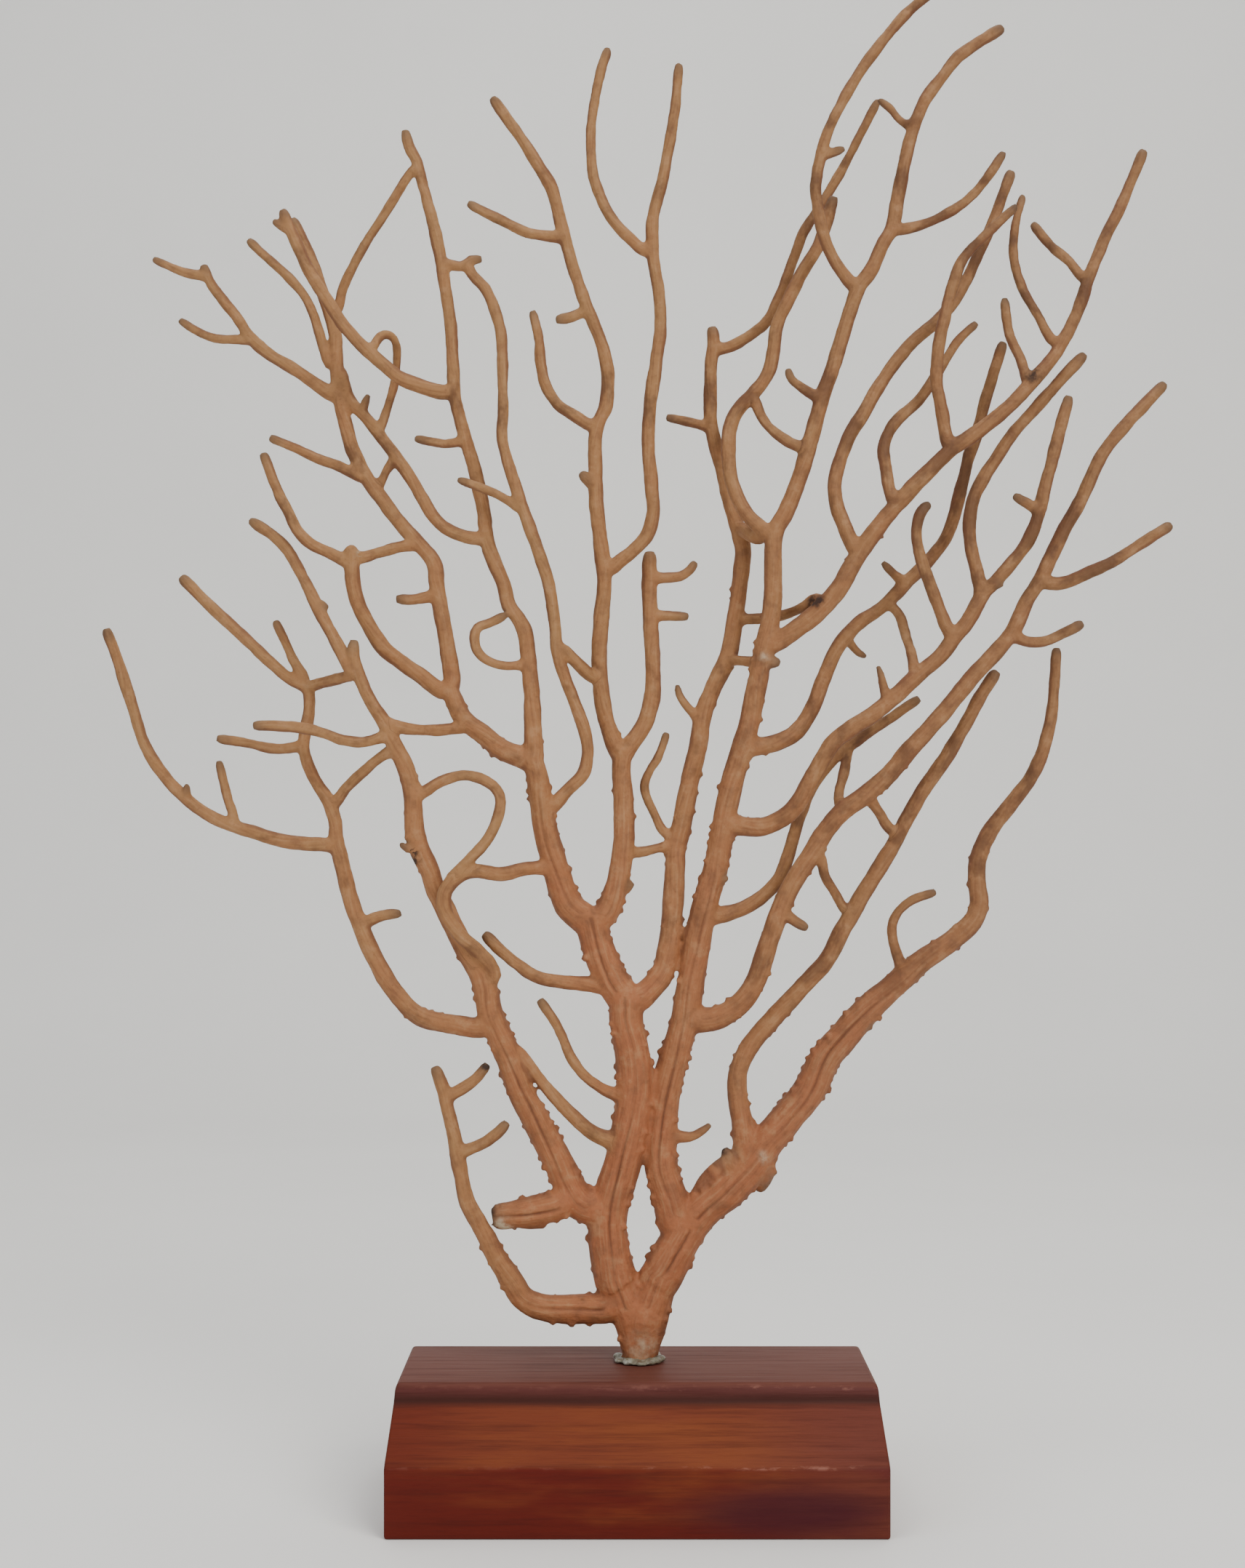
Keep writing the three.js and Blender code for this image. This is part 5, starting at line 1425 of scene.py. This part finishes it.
def woodMaterial():
    made, tree, shader = newMaterial("stained_wood")
    look = woodFinish
    split = addNode(tree, "ShaderNodeSeparateXYZ", None, {0: objectPlace(tree)})
    wide, high = split.outputs[0], split.outputs[2]
    slow = noiseNode(tree, objectPlace(tree, (14, 70, 70)), 1.0, 4, 0.6)
    streaks = noiseNode(tree, objectPlace(tree, (24, 460, 460)), 1.0, 4, 0.65)
    fine = noiseNode(tree, objectPlace(tree, (90, 2000, 2000)), 1.0, 3, 0.6)
    level = mathNode(tree, "ADD", high, times(tree, mathNode(tree, "SUBTRACT", slow, 0.5), 0.0016))
    sideTop = blockPlan["sideHeight"]
    bevelTop = sideTop + blockPlan["bevelDrop"]
    stepTop = bevelTop + blockPlan["stepRise"]
    # Side, bevel, step and top, with soft borders at their heights; partly the wood's finish and partly
    # painted light: a darker front side, a brighter bevel, painted shade in the dark band where the bevel
    # meets the step, and a greyish painted sheen on the top
    shown = addNode(tree, "ShaderNodeMix", {"data_type": "RGBA"},
                    {0: rangeNode(tree, level, sideTop - 0.0006, sideTop + 0.0006),
                     6: (*look["side"], 1), 7: (*look["bevel"], 1)}).outputs[2]
    shown = paint(tree, shown, look["warm"], rangeNode(tree, slow, 0.45, 0.7), 0.55)
    shown = paint(tree, shown, look["side"], rangeNode(tree, wide, -0.03, -0.062), 0.6)
    shown = paint(tree, shown, look["mauve"], rangeNode(tree, wide, 0.015, 0.058), 0.5)
    shown = paint(tree, shown, look["step"], rangeNode(tree, level, bevelTop - 0.0016, bevelTop + 0.0003))
    shown = paint(tree, shown, look["stepTop"], rangeNode(tree, level, bevelTop + 0.0004, stepTop - 0.0006))
    shown = paint(tree, shown, look["top"], rangeNode(tree, level, stepTop - 0.0004, stepTop + 0.0009))
    # Grain, and the maroon stain on the front
    shown = paint(tree, shown, look["streak"], rangeNode(tree, streaks, 0.45, 0.75), 0.42)
    shown = paint(tree, shown, look["streak"], rangeNode(tree, fine, 0.5, 0.7), 0.2)
    squares = []
    for value, middle, half in zip((wide, level), look["stainAt"], look["stainSize"]):
        away = mathNode(tree, "DIVIDE", mathNode(tree, "SUBTRACT", value, middle), half)
        squares.append(times(tree, away, away))
    away = mathNode(tree, "SQRT", mathNode(tree, "ADD", *squares), 0.0)
    shown = paint(tree, shown, look["stain"], rangeNode(tree, away, 1.2, 0.35), 0.75)
    # Chipped edges with a painted highlight along them, mostly on the right
    chips = noiseNode(tree, objectPlace(tree, (190, 500, 500)), 1.0, 4, 0.65)
    chips = times(tree, rangeNode(tree, chips, 0.5, 0.68),
                  mathNode(tree, "ADD", rangeNode(tree, wide, -0.02, 0.03), 0.25))
    for height, half, amount in ((sideTop, 0.0007, 0.5), (stepTop, 0.0009, 0.45)):
        gap = mathNode(tree, "ABSOLUTE", mathNode(tree, "SUBTRACT", high, height), 0.0)
        edge = mathNode(tree, "SUBTRACT", 1.0, mathNode(tree, "DIVIDE", gap, half), True)
        shown = paint(tree, shown, look["wearAndPaintedLight"], times(tree, edge, chips), amount)
    tree.links.new(shown, shader.inputs["Base Color"])
    rough = addNode(tree, "ShaderNodeMapRange", None, {0: streaks, 3: 0.45, 4: 0.68})
    tree.links.new(rough.outputs[0], shader.inputs["Roughness"])
    relief = mathNode(tree, "ADD", streaks, times(tree, fine, 0.5))
    bump = addNode(tree, "ShaderNodeBump", None, {"Strength": 0.4, "Distance": 0.0004, "Height": relief})
    tree.links.new(bump.outputs[0], shader.inputs["Normal"])
    shader.inputs["Specular IOR Level"].default_value = 0.12
    return made


block = makeBlock()
block.data.materials.append(woodMaterial())
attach(block, "root")
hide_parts("wood_block")
print("block made")


# The glue: a lumpy collar of small blobs round the foot, fused
gluePlan = {
    "seed": 11,
    "blobs": 30,
    "ring": (0.0040, 0.0062),
    "size": (0.0005, 0.0017),
    "squash": 0.6,
    "voxel": 0.0003,
    "skirt": (0.0060, 0.0050, 0.0009),  # lower radius, upper radius and height of the film under the blobs
    "tints": [(0.32, (0.13, 0.075, 0.045)), (0.5, (0.25, 0.235, 0.165)), (0.72, (0.60, 0.60, 0.52))],
}


def makeGlue():
    low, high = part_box("glue")
    middle = (low + high) / 2
    dice = random.Random(gluePlan["seed"])
    bm = bmesh.new()
    for k in range(gluePlan["blobs"]):
        angle = 2 * math.pi * (k + dice.uniform(-0.8, 0.8)) / gluePlan["blobs"]
        ring = dice.uniform(*gluePlan["ring"])
        size = dice.uniform(*gluePlan["size"])
        place = Vector((middle.x + math.cos(angle) * ring, middle.y + math.sin(angle) * ring,
                        low.z + size * 0.35))
        bmesh.ops.create_icosphere(bm, subdivisions=2, radius=size, matrix=Matrix.Translation(place)
                                   @ Matrix.Diagonal((1, 1, gluePlan["squash"], 1)))
    below, above, tall = gluePlan["skirt"]
    bmesh.ops.create_cone(bm, cap_ends=True, segments=32, radius1=below, radius2=above, depth=tall,
                          matrix=Matrix.Translation((middle.x, middle.y, low.z + 0.0006)))
    made = newObject("glue_collar", bm)
    remesh = made.modifiers.new("fuse", "REMESH")
    remesh.mode = "VOXEL"
    remesh.voxel_size = gluePlan["voxel"]
    soften = made.modifiers.new("soften", "SMOOTH")
    soften.iterations = 3
    graph = bpy.context.evaluated_depsgraph_get()
    mesh = bpy.data.meshes.new_from_object(made.evaluated_get(graph))
    made.modifiers.clear()
    made.data = mesh
    bm = bmesh.new()
    bm.from_mesh(mesh)
    floorHeight = blockHigh.z - 0.00005
    cutGeom = bm.verts[:] + bm.edges[:] + bm.faces[:]
    cut = bmesh.ops.bisect_plane(bm, geom=cutGeom, plane_co=(0, 0, floorHeight), plane_no=(0, 0, 1),
                                 clear_inner=True)
    bmesh.ops.holes_fill(bm, edges=[item for item in cut["geom_cut"] if isinstance(item, bmesh.types.BMEdge)],
                         sides=0)
    bm.to_mesh(mesh)
    bm.free()
    smoothShade(made)
    return made


def glueMaterial():
    made, tree, shader = newMaterial("cloudy_glue")
    place = objectPlace(tree)
    cloud = noiseNode(tree, place, 380, 4, 0.6)
    glint = noiseNode(tree, place, 1500, 2, 0.5)
    colour = rampNode(tree, cloud, gluePlan["tints"])
    tree.links.new(colour, shader.inputs["Base Color"])
    rough = addNode(tree, "ShaderNodeMapRange", None, {0: glint, 3: 0.12, 4: 0.5})
    tree.links.new(rough.outputs[0], shader.inputs["Roughness"])
    bump = addNode(tree, "ShaderNodeBump", None, {"Strength": 0.6, "Distance": 0.0005, "Height": glint})
    tree.links.new(bump.outputs[0], shader.inputs["Normal"])
    shader.inputs["Transmission Weight"].default_value = 0.25
    shader.inputs["IOR"].default_value = 1.48
    return made


glue = makeGlue()
glue.data.materials.append(glueMaterial())
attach(glue, "root")
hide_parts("glue")
print("glue made")


# Floor and backdrop in one sweep, and soft light
stagePlan = {
    "half": 2.4,
    "front": -1.6,
    "back": 0.75,
    "turn": 0.4,                    # radius of the sweep from floor to backdrop
    "tall": 2.2,
    "tint": (0.885, 0.88, 0.855),
}
lights = [                          # place, size, power, tint
    {"name": "key", "place": (0.75, -1.1, 1.05), "size": 0.9, "power": 20, "tint": (1.0, 0.96, 0.91)},
    {"name": "fill", "place": (-1.0, -0.9, 0.7), "size": 1.2, "power": 7, "tint": (0.94, 0.97, 1.0)},
    {"name": "top", "place": (0.0, 0.1, 1.5), "size": 1.2, "power": 13, "tint": (1.0, 0.99, 0.97)},
]


def makeFloor():
    plan = stagePlan
    bm = bmesh.new()
    profile = [(plan["front"], 0), (plan["back"], 0)]
    for step in range(1, 13):
        angle = math.radians(90 * step / 12)
        profile.append((plan["back"] + plan["turn"] * math.sin(angle), plan["turn"] * (1 - math.cos(angle))))
    profile.append((plan["back"] + plan["turn"], plan["tall"]))
    ends = [bm.verts.new((sign * plan["half"], profile[0][0], profile[0][1])) for sign in (-1, 1)]
    edge = bm.edges.new(ends)
    for before, after in zip(profile, profile[1:]):
        grown = bmesh.ops.extrude_edge_only(bm, edges=[edge])["geom"]
        edge = [item for item in grown if isinstance(item, bmesh.types.BMEdge)
                and item.is_boundary and all(vert in grown for vert in item.verts)][0]
        bmesh.ops.translate(bm, vec=(0, after[0] - before[0], after[1] - before[1]), verts=edge.verts[:])
    bmesh.ops.recalc_face_normals(bm, faces=bm.faces[:])
    made = newObject("floor", bm)
    smoothShade(made)
    surface, tree, shader = newMaterial("pale_floor")
    mottle = noiseNode(tree, objectPlace(tree), 6, 3)
    tint = stagePlan["tint"]
    colour = rampNode(tree, mottle, [(0.3, [c * 0.97 for c in tint]), (0.7, tint)])
    tree.links.new(colour, shader.inputs["Base Color"])
    shader.inputs["Roughness"].default_value = 0.8
    made.data.materials.append(surface)
    return made


makeFloor()
for light in lights:
    data = bpy.data.lights.new(light["name"], "AREA")
    data.size = light["size"]
    data.energy = light["power"]
    data.color = light["tint"]
    lamp = bpy.data.objects.new(light["name"], data)
    bpy.context.collection.objects.link(lamp)
    lamp.location = light["place"]
    aim = Vector((0, 0, 0.18)) - lamp.location
    lamp.rotation_euler = aim.to_track_quat("-Z", "Y").to_euler()
world = bpy.data.worlds.new("studio")
world.use_nodes = True
world.node_tree.nodes["Background"].inputs[0].default_value = (0.93, 0.95, 1.0, 1)
world.node_tree.nodes["Background"].inputs[1].default_value = 0.29
bpy.context.scene.world = world
print("stage and lights set")
